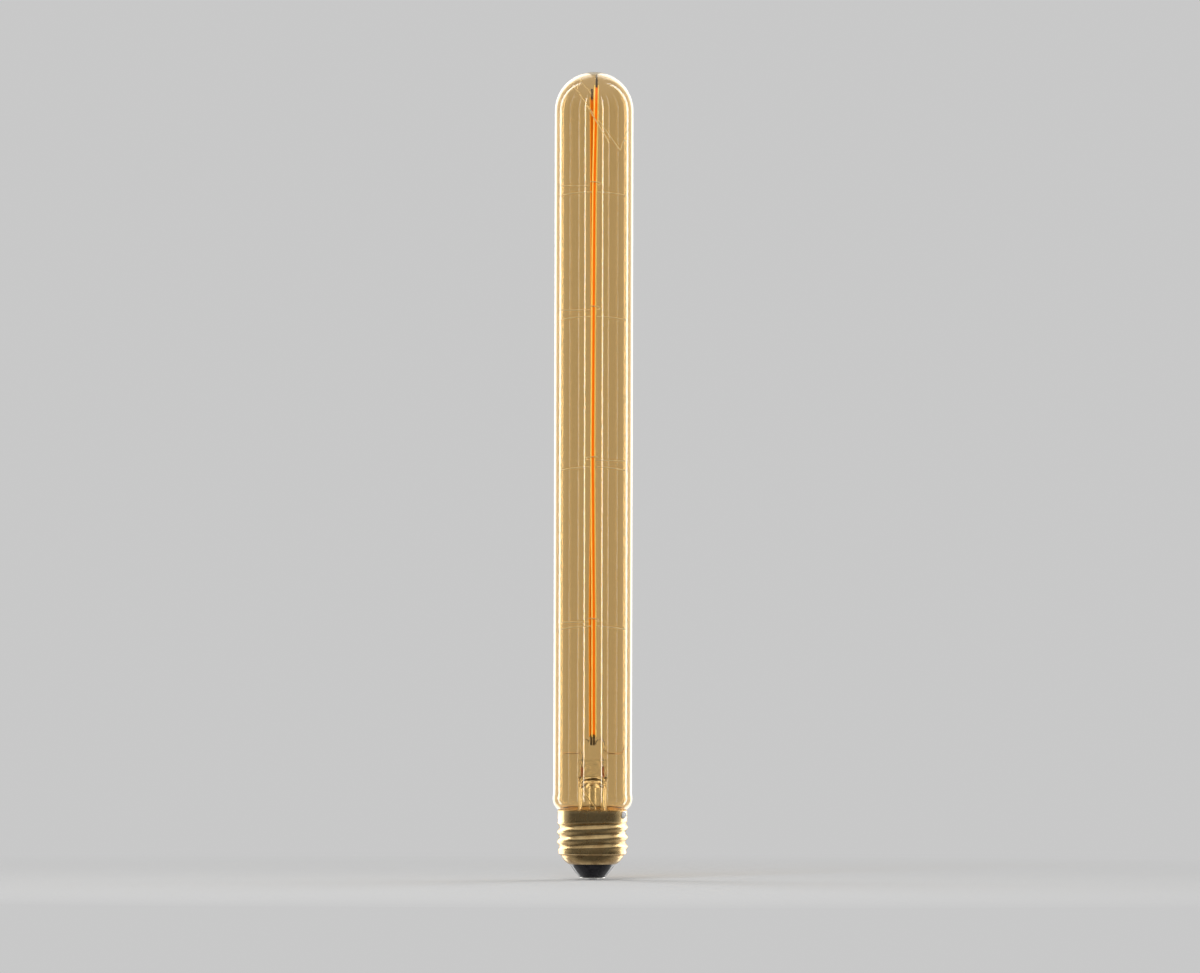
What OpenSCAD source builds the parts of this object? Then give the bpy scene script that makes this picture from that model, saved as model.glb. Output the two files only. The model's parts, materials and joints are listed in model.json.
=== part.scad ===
// LED filament lamp: a long amber glass tube with a domed top on an Edison screw cap, cap down.
// Two filaments stand side by side from the glass stem to the dome, linked at the top, so they are in series.
// Millimetres. The origin is the middle of the tip contact's face, and +Z runs up the lamp's axis.
// The viewer stands on the -Y side: "front" is -Y, "rear" is +Y, "left" is -X and "right" is +X.

/* [Glass bulb] */
// Height from the tip contact to the top of the dome
lamp_h = 300; // [240:1:400]
// Outside diameter of the straight tube
tube_d = 29.2; // [28:0.1:36]
// Thickness of the glass
glass_wall = 0.9; // [0.6:0.05:1.2]
// Height over which the tube rounds in to the cap
shoulder_h = 4.5; // [3.6:0.1:7]
// How far the shoulder swells past the tube
shoulder_swell = 0.25; // [0.1:0.05:0.5]
// Thickness of the cement between the glass neck and the cap
cement_t = 1.05; // [0.8:0.05:1.5]

/* [Screw cap] */
// Diameter over the crests of the rolled thread
thread_d = 26.4; // [26:0.1:26.6]
// Depth of the rolled thread
thread_depth = 0.95; // [0.7:0.05:1.1]
// Distance from one crest to the next
thread_pitch = 3.63; // [3.4:0.01:3.8]
// Height of the lowest crest above the tip
crest_z = 11.24; // [10.8:0.01:11.6]
// Width of the flat along the top of a crest
crest_land = 0.3; // [0.2:0.05:0.5]
// Outside diameter of the plain skirt above the thread
skirt_d = 25.8; // [25.4:0.1:25.9]
// Height of the skirt's lower edge above the tip
skirt_z = 21.2; // [20.9:0.1:21.6]
// Height of the cap's rim above the tip
rim_z = 25.6; // [25.2:0.1:28]
// Thickness of the brass
shell_t = 0.3; // [0.2:0.02:0.4]
// Diameter of the step under the thread, where the bowl begins
bowl_d = 23; // [22:0.1:23.6]
// Height of that step above the tip
bowl_z = 8.65; // [8.3:0.05:8.9]
// Diameter of the bowl where it turns in to its lip
lip_d = 19.4; // [18.4:0.1:20]
// Height of the lip above the tip
lip_z = 5.75; // [5.4:0.05:6]

/* [Insulator and tip] */
// Diameter of the glass insulator where it leaves the shell
insulator_d = 16.6; // [14:0.1:17.4]
// Diameter of the insulator's lower face
insulator_tip_d = 9.9; // [9.5:0.1:12]
// Height of the insulator's lower face above the tip
insulator_z = 0.85; // [0.7:0.05:1.2]
// Height of the insulator's top inside the shell
insulator_top_z = 7.4; // [7:0.1:8]
// Diameter of the tip contact
contact_d = 9.4; // [7:0.1:9.4]
// Bore through the insulator for the tip contact's shank
shank_bore_d = 2.4; // [2:0.1:3]
// Diameter of the worn flat on the solder at the tip
tip_flat_d = 2.6; // [1.6:0.1:3]

/* [Glass stem] */
// Outside diameter of the stem tube
stem_d = 10.2; // [9.6:0.1:12.6]
// Thickness of the stem's glass
stem_wall = 0.8; // [0.6:0.05:1]
// Width of the flat press at the top of the stem
press_w = 10.9; // [9.6:0.1:13.2]
// Thickness of the press
press_t = 3.2; // [2.6:0.1:4]
// Height of the press
press_h = 8.2; // [7:0.1:10]
// Height of the top of the press above the tip
press_top_z = 44.7; // [42:0.1:54]
// Outside diameter of the exhaust tube inside the stem
exhaust_d = 3; // [2.4:0.1:3.4]
// Bore of the exhaust tube
exhaust_bore = 1.8; // [1.2:0.1:2]

/* [Filaments] */
// Width of a filament's phosphor coat, seen from the front
coat_w = 1.8; // [1.5:0.05:2.2]
// Thickness of the coat from front to rear
coat_t = 1.5; // [1.4:0.05:1.8]
// Distance from the front filament's middle to the rear one's
pair_pitch = 3.4; // [3.2:0.05:4.2]
// Space from the top of the press to the foot of the coats
foot_gap = 8.2; // [7:0.1:12]
// Space from the top of the dome to the top of the front coat
front_top_gap = 5; // [4:0.1:8]
// Space from the top of the dome to the top of the rear coat
rear_top_gap = 9.3; // [8.6:0.1:12]
// Distance from one light-emitting chip to the next
chip_pitch = 3.3; // [2.8:0.1:6]
// Length of a chip
chip_l = 1.4; // [0.8:0.1:1.8]

/* [Wires] */
// Diameter of the lead wires that carry the filaments
lead_d = 0.6; // [0.4:0.05:0.7]
// Distance between the two leads in the press
lead_pitch = 7.7; // [6.6:0.1:8]
// Diameter of the flexible leads below the press
tail_d = 0.5; // [0.3:0.05:0.6]
// Diameter of the spring wires that steady the filaments
spring_d = 0.35; // [0.25:0.05:0.45]
// Space that a spring wire keeps from what it presses on
spring_gap = 0.25; // [0.15:0.05:0.3]

/* [Driver] */
// Width of the circuit board in the cap
board_w = 16; // [14:0.1:17]
// Height of the circuit board
board_h = 11.8; // [10:0.1:12.6]
// Thickness of the circuit board
board_t = 1; // [0.8:0.1:1.6]
// Diameter of the smoothing capacitor's can
can_d = 6.3; // [5:0.1:6.6]
// Length of the smoothing capacitor's can
can_h = 8.4; // [6:0.1:9]
// Diameter of the choke's flanges
choke_d = 5.2; // [4:0.1:5.6]
// Length of the choke
choke_h = 6.4; // [5:0.1:8]

/* [Hidden] */
$fn = 96;

// Fit between pieces that are fused, cemented or soldered together
seal_fit = 0.02;
// Space between the bulb's shoulder and the inside of the cap's rim
mouth_gap = 0.15;
// Overlap that lets a cut run cleanly past a face
past = 0.5;

// Cap
crest_count = 3;
crest_r = thread_d / 2;
skirt_r = skirt_d / 2;
skirt_in_r = skirt_r - shell_t;
rim_swell = 0.08;
side_solder_turn = -27;
notch_w = 0.9;
notch_z = rim_z - 1.5;

// Bulb
bulb_r = tube_d / 2;
bulb_in_r = bulb_r - glass_wall;
dome_z = lamp_h - bulb_r;
shoulder_z = rim_z + shoulder_h;
mouth_r = skirt_in_r - mouth_gap;
swell_r = bulb_r + shoulder_swell;
// Arc of the shoulder, upright at its top, which enters the cap's mouth or, on a wide tube, ends over its rim
shoulder_in = swell_r - mouth_r;
shoulder_arc = shoulder_in < shoulder_h ?
    (pow(shoulder_in, 2) + pow(shoulder_h, 2)) / (2 * shoulder_in) : shoulder_h - mouth_gap;
shoulder_at = [swell_r - shoulder_arc, shoulder_z];
// Fillet that runs the shoulder's swell out into the straight tube
fillet_arc = 8;
fillet_at = [bulb_r + fillet_arc,
    shoulder_z + sqrt(pow(fillet_arc + shoulder_arc, 2) - pow(bulb_r + fillet_arc - shoulder_at.x, 2))];
fillet_turn = atan2(fillet_at.y - shoulder_at.y, fillet_at.x - shoulder_at.x);
neck_r = skirt_in_r - cement_t;
neck_z = skirt_z + 0.2;
// The cement stops just under the shoulder's arc
shoulder_foot_z = shoulder_z - sqrt(pow(shoulder_arc, 2) - pow(max(neck_r - shoulder_at.x, 0), 2));
cement_top_z = min(shoulder_foot_z, rim_z) - 0.1;

// Stem
stem_r = stem_d / 2;
stem_bore_r = stem_r - stem_wall;
press_z = press_top_z - press_h;
pinch_z = press_z - 2.5;
pinch_h = 4.5;
bore_top_z = press_z - 1.1;
flare_end_r = neck_r - glass_wall - seal_fit;
flare_arc = flare_end_r - stem_r;
flare_z = neck_z + stem_wall + flare_arc;
lead_x = lead_pitch / 2;
seal_low_z = press_z + 1.5;
seal_high_z = seal_low_z + 4;
exhaust_hole_z = press_z + 3.2;
exhaust_tip_z = neck_z + 3.1;

// Filaments, from the foot up: front is 0 and rear is 1
coat_foot_z = press_top_z + foot_gap;
coat_top_z = [lamp_h - front_top_gap, lamp_h - rear_top_gap];
coat_y = [-pair_pitch / 2, pair_pitch / 2];
// Shares of the front filament's length at which it is steadied, from the top down
support_share = [0.848, 0.657, 0.426, 0.178];
support_z = [for (share = support_share) coat_foot_z + share * (coat_top_z[0] - coat_foot_z)];
// Sideways place of each filament at its foot, at the supports from the lowest, and at its top
sway = [[0.45, 0.35, -0.2, 0, 0.2, 0.9], [-0.5, -0.75, -0.1, -0.3, -0.6, -0.8]];
strip_w = 0.8;
strip_t = 0.35;
// Distance from a filament's middle to the face of its strip that carries the chips
strip_face = 0.1;
chip_w = 0.5;
chip_t = 0.2;
channel_w = 1.36;
channel_t = 1;
tab_w = 0.8;
tab_t = 0.25;
tab_seat = 1;
foot_tab_l = 3.1;
rear_tab_l = 3;

// Wires
lead_r = lead_d / 2;
spring_r = spring_d / 2;
// Distance from the axis at which a spring wire bears on the tube, and its depth under the dome
wall_reach = bulb_in_r - spring_r - spring_gap;
dome_seat = spring_r + spring_gap;
// Distance from the axis of a hook's front and rear strands
strand_y = pair_pitch / 2 + coat_t / 2 + spring_r + spring_gap;
// Side of each hook's bend, right or left, and its slack beside the filaments, from the top down
hook_side = [1, 1, -1, 1];
hook_slack = [1.55, 1.55, 1.9, 1.2];
// Drop from each hook to its cross brace, and the brace's own sag to the walls
brace_drop = [2.8, 2.8, 2.8, 1.9];
brace_sag = 1.5;
brace_turn = 7;
wire_sides = 8;

// Driver
board_z = insulator_top_z + 0.3;
board_top_z = board_z + board_h;
board_front = -board_t / 2;
board_rear = board_t / 2;
part_gap = 0.1;
fuse_x = 1.6;
fuse_z = board_z + 2.3;
// Places where the flexible wires meet the board, and where one leaves the cap
tail_left_x = 1.6;
tail_right_x = 6;
tail_end_y = board_front - tail_d / 2 - 0.05;
side_wire_r = neck_r + cement_t / 2;
side_wire_out_z = rim_z - 0.95;

// Height of the dome's inside over a point, less the seat of a spring wire
function under_dome(x, y) = dome_z + sqrt(pow(bulb_in_r, 2) - x * x - y * y) - dome_seat;

// Point at a distance from the axis and a turn about it, and one where a spring wire bears on the wall
function around(r, turn, z) = [r * cos(turn), r * sin(turn), z];
function on_wall(turn, z) = around(wall_reach, turn, z);

function unit(v) = v / norm(v);

// Smooth curve through a route's points, in equal steps from each point to the next
function curve_at(a, b, c, d, t) =
    0.5 * (2 * b + (c - a) * t + (2 * a - 5 * b + 4 * c - d) * t * t + (3 * b - a - 3 * c + d) * t * t * t);
function smooth(route, steps) = let (last = len(route) - 1) [
    for (i = [0 : last - 1], s = [0 : steps - 1])
        curve_at(route[max(i - 1, 0)], route[i], route[i + 1], route[min(i + 2, last)], s / steps),
    route[last]
];

// Points along a straight leg, without its end
function leg(a, b, count) = [for (i = [0 : count - 1]) a + (b - a) * i / count];

// Side directions carried along a line without twist
function carried(ahead, side, i = 0) =
    i == len(ahead) ? [] :
    let (next = unit(side - (side * ahead[i]) * ahead[i])) concat([next], carried(ahead, next, i + 1));

// Round wire along a line of points
module wire(line, d) {
    last = len(line) - 1;
    ahead = [for (i = [0 : last]) unit(line[min(i + 1, last)] - line[max(i - 1, 0)])];
    across = carried(ahead, abs(ahead[0].z) < 0.8 ? [0, 0, 1] : [1, 0, 0]);
    turns = [for (k = [0 : wire_sides - 1]) 360 * k / wire_sides];
    points = [
        for (i = [0 : last], turn = turns)
            line[i] + d / 2 * (cos(turn) * across[i] + sin(turn) * cross(ahead[i], across[i]))
    ];
    polyhedron(points, concat(wall_faces(last, wire_sides, 0), end_faces(last, wire_sides)), convexity = 6);
}

// Triangles between neighbouring rings, facing out, for rings whose points start at an offset
function wall_faces(last, sides, offset) = [
    for (i = [0 : last - 1], k = [0 : sides - 1])
        let (a = offset + i * sides + k, b = offset + i * sides + (k + 1) % sides)
            each [[a, a + sides, b], [b, a + sides, b + sides]]
];
function end_faces(last, sides) = [
    [for (k = [0 : sides - 1]) k],
    [for (k = [sides - 1 : -1 : 0]) last * sides + k]
];
function flipped(faces) = [for (f = faces) [f[2], f[1], f[0]]];

// Heights of a filament's knots, and the middle of the filament at a height
function knots(f) = concat([coat_foot_z], [for (i = [3 : -1 : 0]) support_z[i]], [coat_top_z[f]]);
function filament_at(f, z) =
    let (k = knots(f)) [lookup(z, [for (i = [0 : len(k) - 1]) [k[i], sway[f][i]]]), coat_y[f], z];

// Solid of one outline carried up a filament through the given heights
module along_filament(f, heights, outline) {
    sides = len(outline);
    last = len(heights) - 1;
    points = [for (z = heights, p = outline) filament_at(f, z) + [p.x, p.y, 0]];
    polyhedron(points, concat(wall_faces(last, sides, 0), end_faces(last, sides)), convexity = 4);
}
function oval(w, t) = [for (k = [0 : 15]) [w / 2 * cos(22.5 * k), t / 2 * sin(22.5 * k)]];
function oblong(x0, x1, y0, y1) = [[x1, y0], [x1, y1], [x0, y1], [x0, y0]];
function inner_knots(f, inset) = let (k = knots(f), last = len(k) - 1) [
    for (i = [0 : last]) k[i] + (i == 0 ? inset : i == last ? -inset : 0)
];

// Outside of the thread from the lowest crest to the last, then down into the groove under the skirt
function thread_wave(k) = [
    for (s = [0 : 8])
        [crest_r - thread_depth * (1 - cos(45 * s)) / 2,
            crest_z + k * thread_pitch + crest_land / 2 + s / 8 * (thread_pitch - crest_land)]
];
groove_z = crest_z + (crest_count - 0.5) * thread_pitch;
foot_groove_z = crest_z - thread_pitch / 2;

// Profile of the cap's outside from the lip up to the rim, moved in by an inset
function cap_profile(inset) = [for (p = concat(
    bowl_points(),
    [for (s = [1 : 4]) [crest_r - thread_depth * (1 + cos(45 * s)) / 2,
        foot_groove_z + s / 4 * (thread_pitch - crest_land) / 2]],
    [for (k = [0 : crest_count - 2]) each thread_wave(k)],
    [for (s = [0 : 4]) thread_wave(crest_count - 1)[s]],
    [for (s = [1 : 4]) [crest_r - thread_depth + (skirt_r - crest_r + thread_depth) * (1 - cos(45 * s)) / 2,
        groove_z + s / 4 * (skirt_z - groove_z)]],
    [[skirt_r, rim_z - 0.9], [skirt_r + rim_swell * 0.7, rim_z - 0.6], [skirt_r + rim_swell, rim_z - 0.3],
        [skirt_r + rim_swell, rim_z]]
)) [p.x - inset, p.y]];
// The bowl bulges between the lip and the step under the thread
function bowl_points() = [for (s = [0 : 5])
    [lip_d / 2 + (bowl_d - lip_d) / 2 * sin(18 * s), lip_z + (bowl_z - lip_z) * (1 - cos(18 * s))]];

module cap_shell() {
    outside = cap_profile(0);
    inside = cap_profile(shell_t);
    lip_r = insulator_d / 2 + seal_fit;
    color([0.80, 0.65, 0.38])
        difference() {
            rotate_extrude()
                polygon(concat(
                    [[lip_r, lip_z - 0.15], [lip_d / 2 - 0.3, lip_z - 0.15]],
                    outside,
                    [for (i = [len(inside) - 1 : -1 : 0])
                        [inside[i].x, max(inside[i].y, lip_z + shell_t - 0.15)]],
                    [[lip_r, lip_z + shell_t - 0.15]]));
            rotate(side_solder_turn)
                translate([skirt_in_r - past, -notch_w / 2, notch_z])
                    cube([shell_t + rim_swell + 2 * past, notch_w, rim_z - notch_z + past]);
        }
}

module cap_insulator() {
    bowl_r = lip_d / 2 - shell_t - 2 * seal_fit;
    low = lip_z + shell_t - 0.15 + seal_fit;
    color([0.16, 0.14, 0.19])
        rotate_extrude()
            polygon([
                [shank_bore_d / 2, insulator_z], [insulator_tip_d / 2 - 0.4, insulator_z],
                [insulator_tip_d / 2, insulator_z + 0.35], [insulator_d / 2, lip_z - 0.35],
                [insulator_d / 2, low], [bowl_r, low],
                [bowl_r + 0.35, low + 0.55], [bowl_r + 0.35, insulator_top_z],
                [4.2, insulator_top_z - 0.4], [shank_bore_d / 2, insulator_top_z - 0.4]]);
}

module tip_contact() {
    shank_r = shank_bore_d / 2 - seal_fit;
    top = insulator_z - seal_fit;
    color([0.72, 0.70, 0.66])
        rotate_extrude()
            polygon([
                [shank_r - 0.3, 0.3], [tip_flat_d / 2 + 0.5, 0.3], [contact_d / 2 - 0.5, 0.45],
                [contact_d / 2 - 0.12, 0.56], [contact_d / 2, top - 0.12], [contact_d / 2 - 0.08, top],
                [shank_r, top], [shank_r, top + 2.4], [shank_r - 0.3, top + 2.4]]);
}

module tip_solder() {
    shank_in_r = shank_bore_d / 2 - 0.3 - 2 * seal_fit;
    edge_z = 0.3 - seal_fit;
    color([0.80, 0.80, 0.82])
        difference() {
            rotate_extrude()
                polygon([
                    [0, 0], [tip_flat_d / 2, 0], [tip_flat_d / 2 + 0.3, 0.08],
                    [tip_flat_d / 2 + 0.5, edge_z], [shank_in_r, edge_z], [shank_in_r, 2.2], [0, 2.2]]);
            translate([0, 0, 1.4])
                cylinder(d = tail_d + 2 * seal_fit, h = 1);
        }
}

module side_solder() {
    color([0.80, 0.80, 0.82])
        difference() {
            rotate(side_solder_turn)
                union() {
                    translate([skirt_r - 0.25, 0, rim_z - 1.1])
                        sphere(r = 1.35);
                    translate([skirt_r - 0.35, 0.1, rim_z - 2.4])
                        sphere(r = 1.05);
                }
            cylinder(r = skirt_r + rim_swell + seal_fit, h = rim_z + past);
            translate([0, 0, rim_z + 0.05])
                cylinder(r = bulb_r + past, h = 2);
            rotate(side_solder_turn)
                translate([skirt_r - past, 0, side_wire_out_z])
                    rotate([0, 90, 0])
                        cylinder(d = tail_d + 4 * seal_fit, h = past + 0.5);
        }
}

module basing_cement() {
    color([0.82, 0.78, 0.70])
        difference() {
            rotate_extrude()
                translate([neck_r + seal_fit, neck_z])
                    square([cement_t - 2 * seal_fit, cement_top_z - neck_z]);
            rotate(side_solder_turn)
                translate([neck_r - past, -tail_d / 2 - 0.1, neck_z - past])
                    cube([cement_t + 2 * past, tail_d + 0.2, rim_z]);
        }
}

// Points along an arc in a profile
function arc(at, r, from, to, steps) =
    [for (s = [0 : steps]) let (turn = from + (to - from) * s / steps) at + r * [cos(turn), sin(turn)]];

// Right half of the bulb's outline, moved in by an inset, with its neck's end at a height
module bulb_half(inset, low_z) {
    r = neck_r - inset;
    reach = (r - shoulder_at.x) / (shoulder_arc - inset);
    ledge = reach < 0 ? [[r, shoulder_z - shoulder_arc + inset]] : [];
    translate([0, dome_z])
        intersection() {
            circle(r = bulb_r - inset);
            square(bulb_r + past);
        }
    polygon(concat(
        [[0, low_z], [r, low_z]],
        ledge,
        arc(shoulder_at, shoulder_arc - inset, -acos(max(reach, 0)), fillet_turn, 14),
        arc(fillet_at, fillet_arc + inset, 180 + fillet_turn, 180, 5),
        [[bulb_r - inset, dome_z], [0, dome_z]]));
}

module glass_envelope() {
    color([0.72, 0.50, 0.22, 0.35])
        rotate_extrude()
            difference() {
                bulb_half(0, neck_z);
                bulb_half(glass_wall, neck_z - past);
            }
}

// Stem tube that flares out to the bulb's neck and is pinched flat at its top
module glass_stem() {
    color([0.86, 0.84, 0.78, 0.5])
        difference() {
            union() {
                rotate_extrude()
                    difference() {
                        stem_half(stem_r, flare_arc);
                        stem_half(stem_bore_r, flare_arc + stem_wall);
                    }
                pinch();
                press();
            }
            translate([0, 0, flare_z])
                cylinder(r = stem_bore_r, h = pinch_z - flare_z);
            translate([0, 0, pinch_z])
                cylinder(r1 = stem_bore_r, r2 = exhaust_d / 2 + 0.6, h = bore_top_z - pinch_z);
            for (side = [-1, 1])
                translate([side * lead_x, 0, pinch_z - past])
                    cylinder(r = lead_r + seal_fit, h = press_h + 2 * pinch_h);
            translate([0, 0, bore_top_z - past])
                cylinder(d = exhaust_bore, h = exhaust_hole_z - bore_top_z + past);
            translate([0, 0, exhaust_hole_z])
                rotate([90, 0, 0])
                    linear_extrude(height = press_t) {
                        square([1, 1.3], center = true);
                        for (side = [-1, 1])
                            translate([side * 0.5, 0])
                                circle(d = 1.3);
                    }
        }
}

// Everything inside the stem's skin: the straight tube and the trumpet below it
module stem_half(r, arc) {
    translate([0, flare_z])
        square([r, pinch_z - flare_z]);
    difference() {
        translate([0, flare_z - arc])
            square([flare_end_r, arc]);
        translate([flare_end_r, flare_z])
            circle(r = arc);
    }
}

module pinch() {
    steps = 10;
    half = [
        for (s = [0 : steps])
            [press_t / 2 + (stem_r - press_t / 2) * (1 + cos(180 * s / steps)) / 2,
                pinch_z + pinch_h * s / steps]
    ];
    intersection() {
        translate([0, 0, pinch_z])
            cylinder(r = stem_r, h = pinch_h);
        rotate([90, 0, 90])
            translate([0, 0, -stem_r - past])
                linear_extrude(height = 2 * (stem_r + past))
                    polygon(concat(half, [for (i = [steps : -1 : 0]) [-half[i].x, half[i].y]]));
    }
}

module press() {
    corner = 0.9;
    rotate([90, 0, 0])
        translate([0, 0, -press_t / 2])
            linear_extrude(height = press_t) {
                polygon([
                    [-stem_r, press_z - 1.2], [stem_r, press_z - 1.2], [press_w / 2, press_z + 0.6],
                    [press_w / 2, press_top_z - corner], [-press_w / 2, press_top_z - corner],
                    [-press_w / 2, press_z + 0.6]]);
                translate([corner - press_w / 2, press_z])
                    square([press_w - 2 * corner, press_h]);
                for (side = [-1, 1])
                    translate([side * (press_w / 2 - corner), press_top_z - corner])
                        circle(r = corner);
            }
}

module exhaust_tube() {
    top = bore_top_z - seal_fit;
    tip = exhaust_tip_z + exhaust_d / 2;
    color([0.88, 0.87, 0.82, 0.5])
        difference() {
            union() {
                translate([0, 0, tip])
                    cylinder(d = exhaust_d, h = top - tip);
                translate([0, 0, tip])
                    sphere(d = exhaust_d);
            }
            translate([0, 0, tip + 0.3])
                cylinder(d = exhaust_bore, h = top);
        }
}

module seal_wire(side) {
    color([0.72, 0.30, 0.16])
        translate([side * lead_x, 0, seal_low_z])
            cylinder(r = lead_r, h = seal_high_z - seal_low_z);
}

// Lead from its seal to the side of a filament's foot tab
module lead(side, f) {
    tab = filament_at(f, coat_foot_z);
    end = [tab.x + side * (tab_w / 2 + lead_r + 0.05), tab.y];
    out = side * lead_x;
    z = press_top_z;
    color([0.70, 0.70, 0.72])
        wire(smooth([
            [out, 0, seal_high_z + seal_fit],
            [out, 0, z + 0.5],
            [out + side * 0.2, tab.y * 0.05, z + 3],
            [out + side * 0.5, tab.y * 0.2, z + 5.3],
            [out + side * 0.25, tab.y * 0.4, z + 6.8],
            [out - side * 0.8, tab.y * 0.7, z + 7.4],
            [end.x + side * 0.9, end.y, z + 7.3],
            [end.x + side * 0.2, end.y, z + 6.7],
            [end.x, end.y, z + 5.6]
        ], 4), lead_d);
}

// Spring wires that run from the leads' foot to the tube's wall
module foot_spring_left() {
    z = press_top_z + 2.1;
    color([0.62, 0.48, 0.34])
        wire(smooth([
            [-lead_x - lead_r - spring_r - 0.25, 0.1, z + 0.1],
            [-lead_x - 2.4, 0.5, z],
            [-lead_x - 4.4, 1.8, z + 0.05],
            on_wall(158, z) + [1.6, -0.9, 0],
            on_wall(150, z + 0.2)
        ], 4), spring_d);
}

module foot_spring_right() {
    z = press_top_z + 2.1;
    color([0.62, 0.48, 0.34])
        wire(smooth([
            [lead_x + lead_r + spring_r + 0.25, -0.2, z + 1.2],
            [lead_x + 1.2, -0.4, z + 0.7],
            [lead_x + 2.6, 0.2, z],
            [lead_x + 4.8, 1.6, z - 0.1],
            on_wall(24, z) + [-1.5, -0.5, 0],
            on_wall(25, z + 1.1) + [-0.4, -0.1, 0],
            on_wall(26, z + 2.9)
        ], 4), spring_d);
}

module filament_coat(f) {
    outline = oval(coat_w, coat_t);
    hollow = oval(channel_w, channel_t);
    sides = len(outline);
    heights = knots(f);
    rings = len(heights);
    points = concat(
        [for (z = heights, p = outline) filament_at(f, z) + [p.x, p.y, 0]],
        [for (z = heights, p = hollow) filament_at(f, z) + [p.x, p.y, 0]]);
    foot = [
        for (k = [0 : sides - 1])
            let (a = k, b = (k + 1) % sides, in = rings * sides)
                each [[a, b, in + a], [b, in + b, in + a]]
    ];
    top = [
        for (k = [0 : sides - 1])
            let (lift = (rings - 1) * sides, a = lift + k, b = lift + (k + 1) % sides, in = rings * sides)
                each [[a, in + a, b], [b, in + a, in + b]]
    ];
    color([0.98, 0.62, 0.10])
        polyhedron(points, concat(
            wall_faces(rings - 1, sides, 0),
            flipped(wall_faces(rings - 1, sides, rings * sides)), foot, top), convexity = 4);
}

// Carrier strip in the coat, with its chips on the side away from the other filament
module filament_strip(f) {
    out = f == 0 ? -1 : 1;
    mid = out * (strip_face - strip_t / 2);
    color([0.90, 0.88, 0.82])
        along_filament(f, inner_knots(f, tab_seat),
            oblong(-strip_w / 2, strip_w / 2, mid - strip_t / 2, mid + strip_t / 2));
}

module filament_chips(f) {
    out = f == 0 ? -1 : 1;
    first = coat_foot_z + tab_seat + chip_pitch / 2;
    last = coat_top_z[f] - tab_seat - chip_l / 2 - part_gap;
    count = floor((last - first) / chip_pitch);
    color([0.35, 0.55, 0.80])
        for (i = [0 : count])
            translate(filament_at(f, first + i * chip_pitch) + [0, out * (strip_face + chip_t / 2), 0])
                cube([chip_w, chip_t, chip_l], center = true);
}

// Metal tabs at a filament's foot and top
module filament_tabs(f) {
    top = coat_top_z[f];
    at_top = filament_at(f, top);
    end = f == 0 ? under_dome(at_top.x, at_top.y) + spring_r : top + rear_tab_l;
    outline = oblong(-tab_w / 2, tab_w / 2, -tab_t / 2, tab_t / 2);
    color([0.55, 0.54, 0.52]) {
        along_filament(f, [coat_foot_z - foot_tab_l, coat_foot_z + tab_seat - seal_fit], outline);
        along_filament(f, [top - tab_seat + seal_fit, end], outline);
    }
}

// One wire whose two legs brace the filaments' tops, from the dome at the left to the wall at the right
module top_spring() {
    top = lamp_h - 300;
    curl = [-5.5, -0.3];
    wall_end = on_wall(-66, 273.4 + top);
    front_start = [-5.8, -1.8, 292.6 + top];
    front_end = wall_end + [-0.9, 1.9, 1.9];
    between_start = [-7.6, 0.3, 294.6 + top];
    between_end = [9.4, -0.35, 271.3 + top];
    color([0.78, 0.76, 0.74])
        wire(smooth(concat(
            [wall_end],
            leg(front_end, front_start, 6),
            [front_start],
            [[-6.2, -1.7, 294 + top]],
            [[-5.2, -1.2, 295.9 + top]],
            [[curl.x, curl.y, under_dome(curl.x, curl.y)]],
            [[-6.9, 0.2, under_dome(-6.9, 0.2)]],
            [[-7.8, 0.35, 295.7 + top]],
            leg(between_start, between_end, 7),
            [between_end],
            [[9.9, -0.4, 271.2 + top]],
            [[10.5, -0.7, 273.2 + top]],
            [[11.3, -1.3, 274.5 + top]],
            [on_wall(-13, 274.2 + top) + [-0.5, 0, 0]],
            [on_wall(-14, 272.9 + top)]
        ), 3), spring_d);
}

// Link that joins the front filament's top tab to the rear one's
module top_link() {
    front = filament_at(0, coat_top_z[0]);
    rear = filament_at(1, coat_top_z[1]);
    off = tab_w / 2 + spring_r + 0.05;
    z = under_dome(front.x, front.y);
    color([0.66, 0.62, 0.56])
        wire(smooth([
            [front.x - off, front.y, z - 1],
            [front.x - off - 0.4, front.y + 0.1, z - 0.55],
            [-1.6, front.y + 0.3, z - 0.5],
            [-3.2, -1.2, under_dome(-3.2, -1.2) - 0.1],
            [-4.3, -0.9, under_dome(-4.3, -0.9)],
            [-4.9, 0.3, under_dome(-4.9, 0.3) - 0.7],
            [-4.4, 1.2, z - 2.9],
            [-3, 1.6, z - 4.4],
            [rear.x - off - 0.5, rear.y, coat_top_z[1] + 2.4],
            [rear.x - off, rear.y, coat_top_z[1] + 1.4]
        ], 3), spring_d);
}

// Hook round both filaments, with one arm behind them that bears on the wall
module support_hook(level) {
    z = support_z[level];
    side = hook_side[level];
    bend = coat_w / 2 + hook_slack[level];
    arm = on_wall(180 - brace_turn, 0);
    shape = [
        [arm.x, arm.y, -0.6],
        [arm.x * 0.72, strand_y * 0.75, -0.5],
        [arm.x * 0.45, strand_y * 0.92, -0.45],
        [-3, strand_y, -0.4],
        [-0.3, strand_y, -0.3],
        [bend * 0.62, strand_y * 0.84, -0.15],
        [bend, strand_y * 0.32, 0.1],
        [bend, -strand_y * 0.32, 0.45],
        [bend * 0.62, -strand_y * 0.84, 0.8],
        [-0.3, -strand_y, 1],
        [-1.4, -strand_y, 1]
    ];
    color([0.74, 0.72, 0.70])
        wire(smooth([for (p = shape) [side * p.x, p.y, z + p.z]], 3), spring_d);
}

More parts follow.
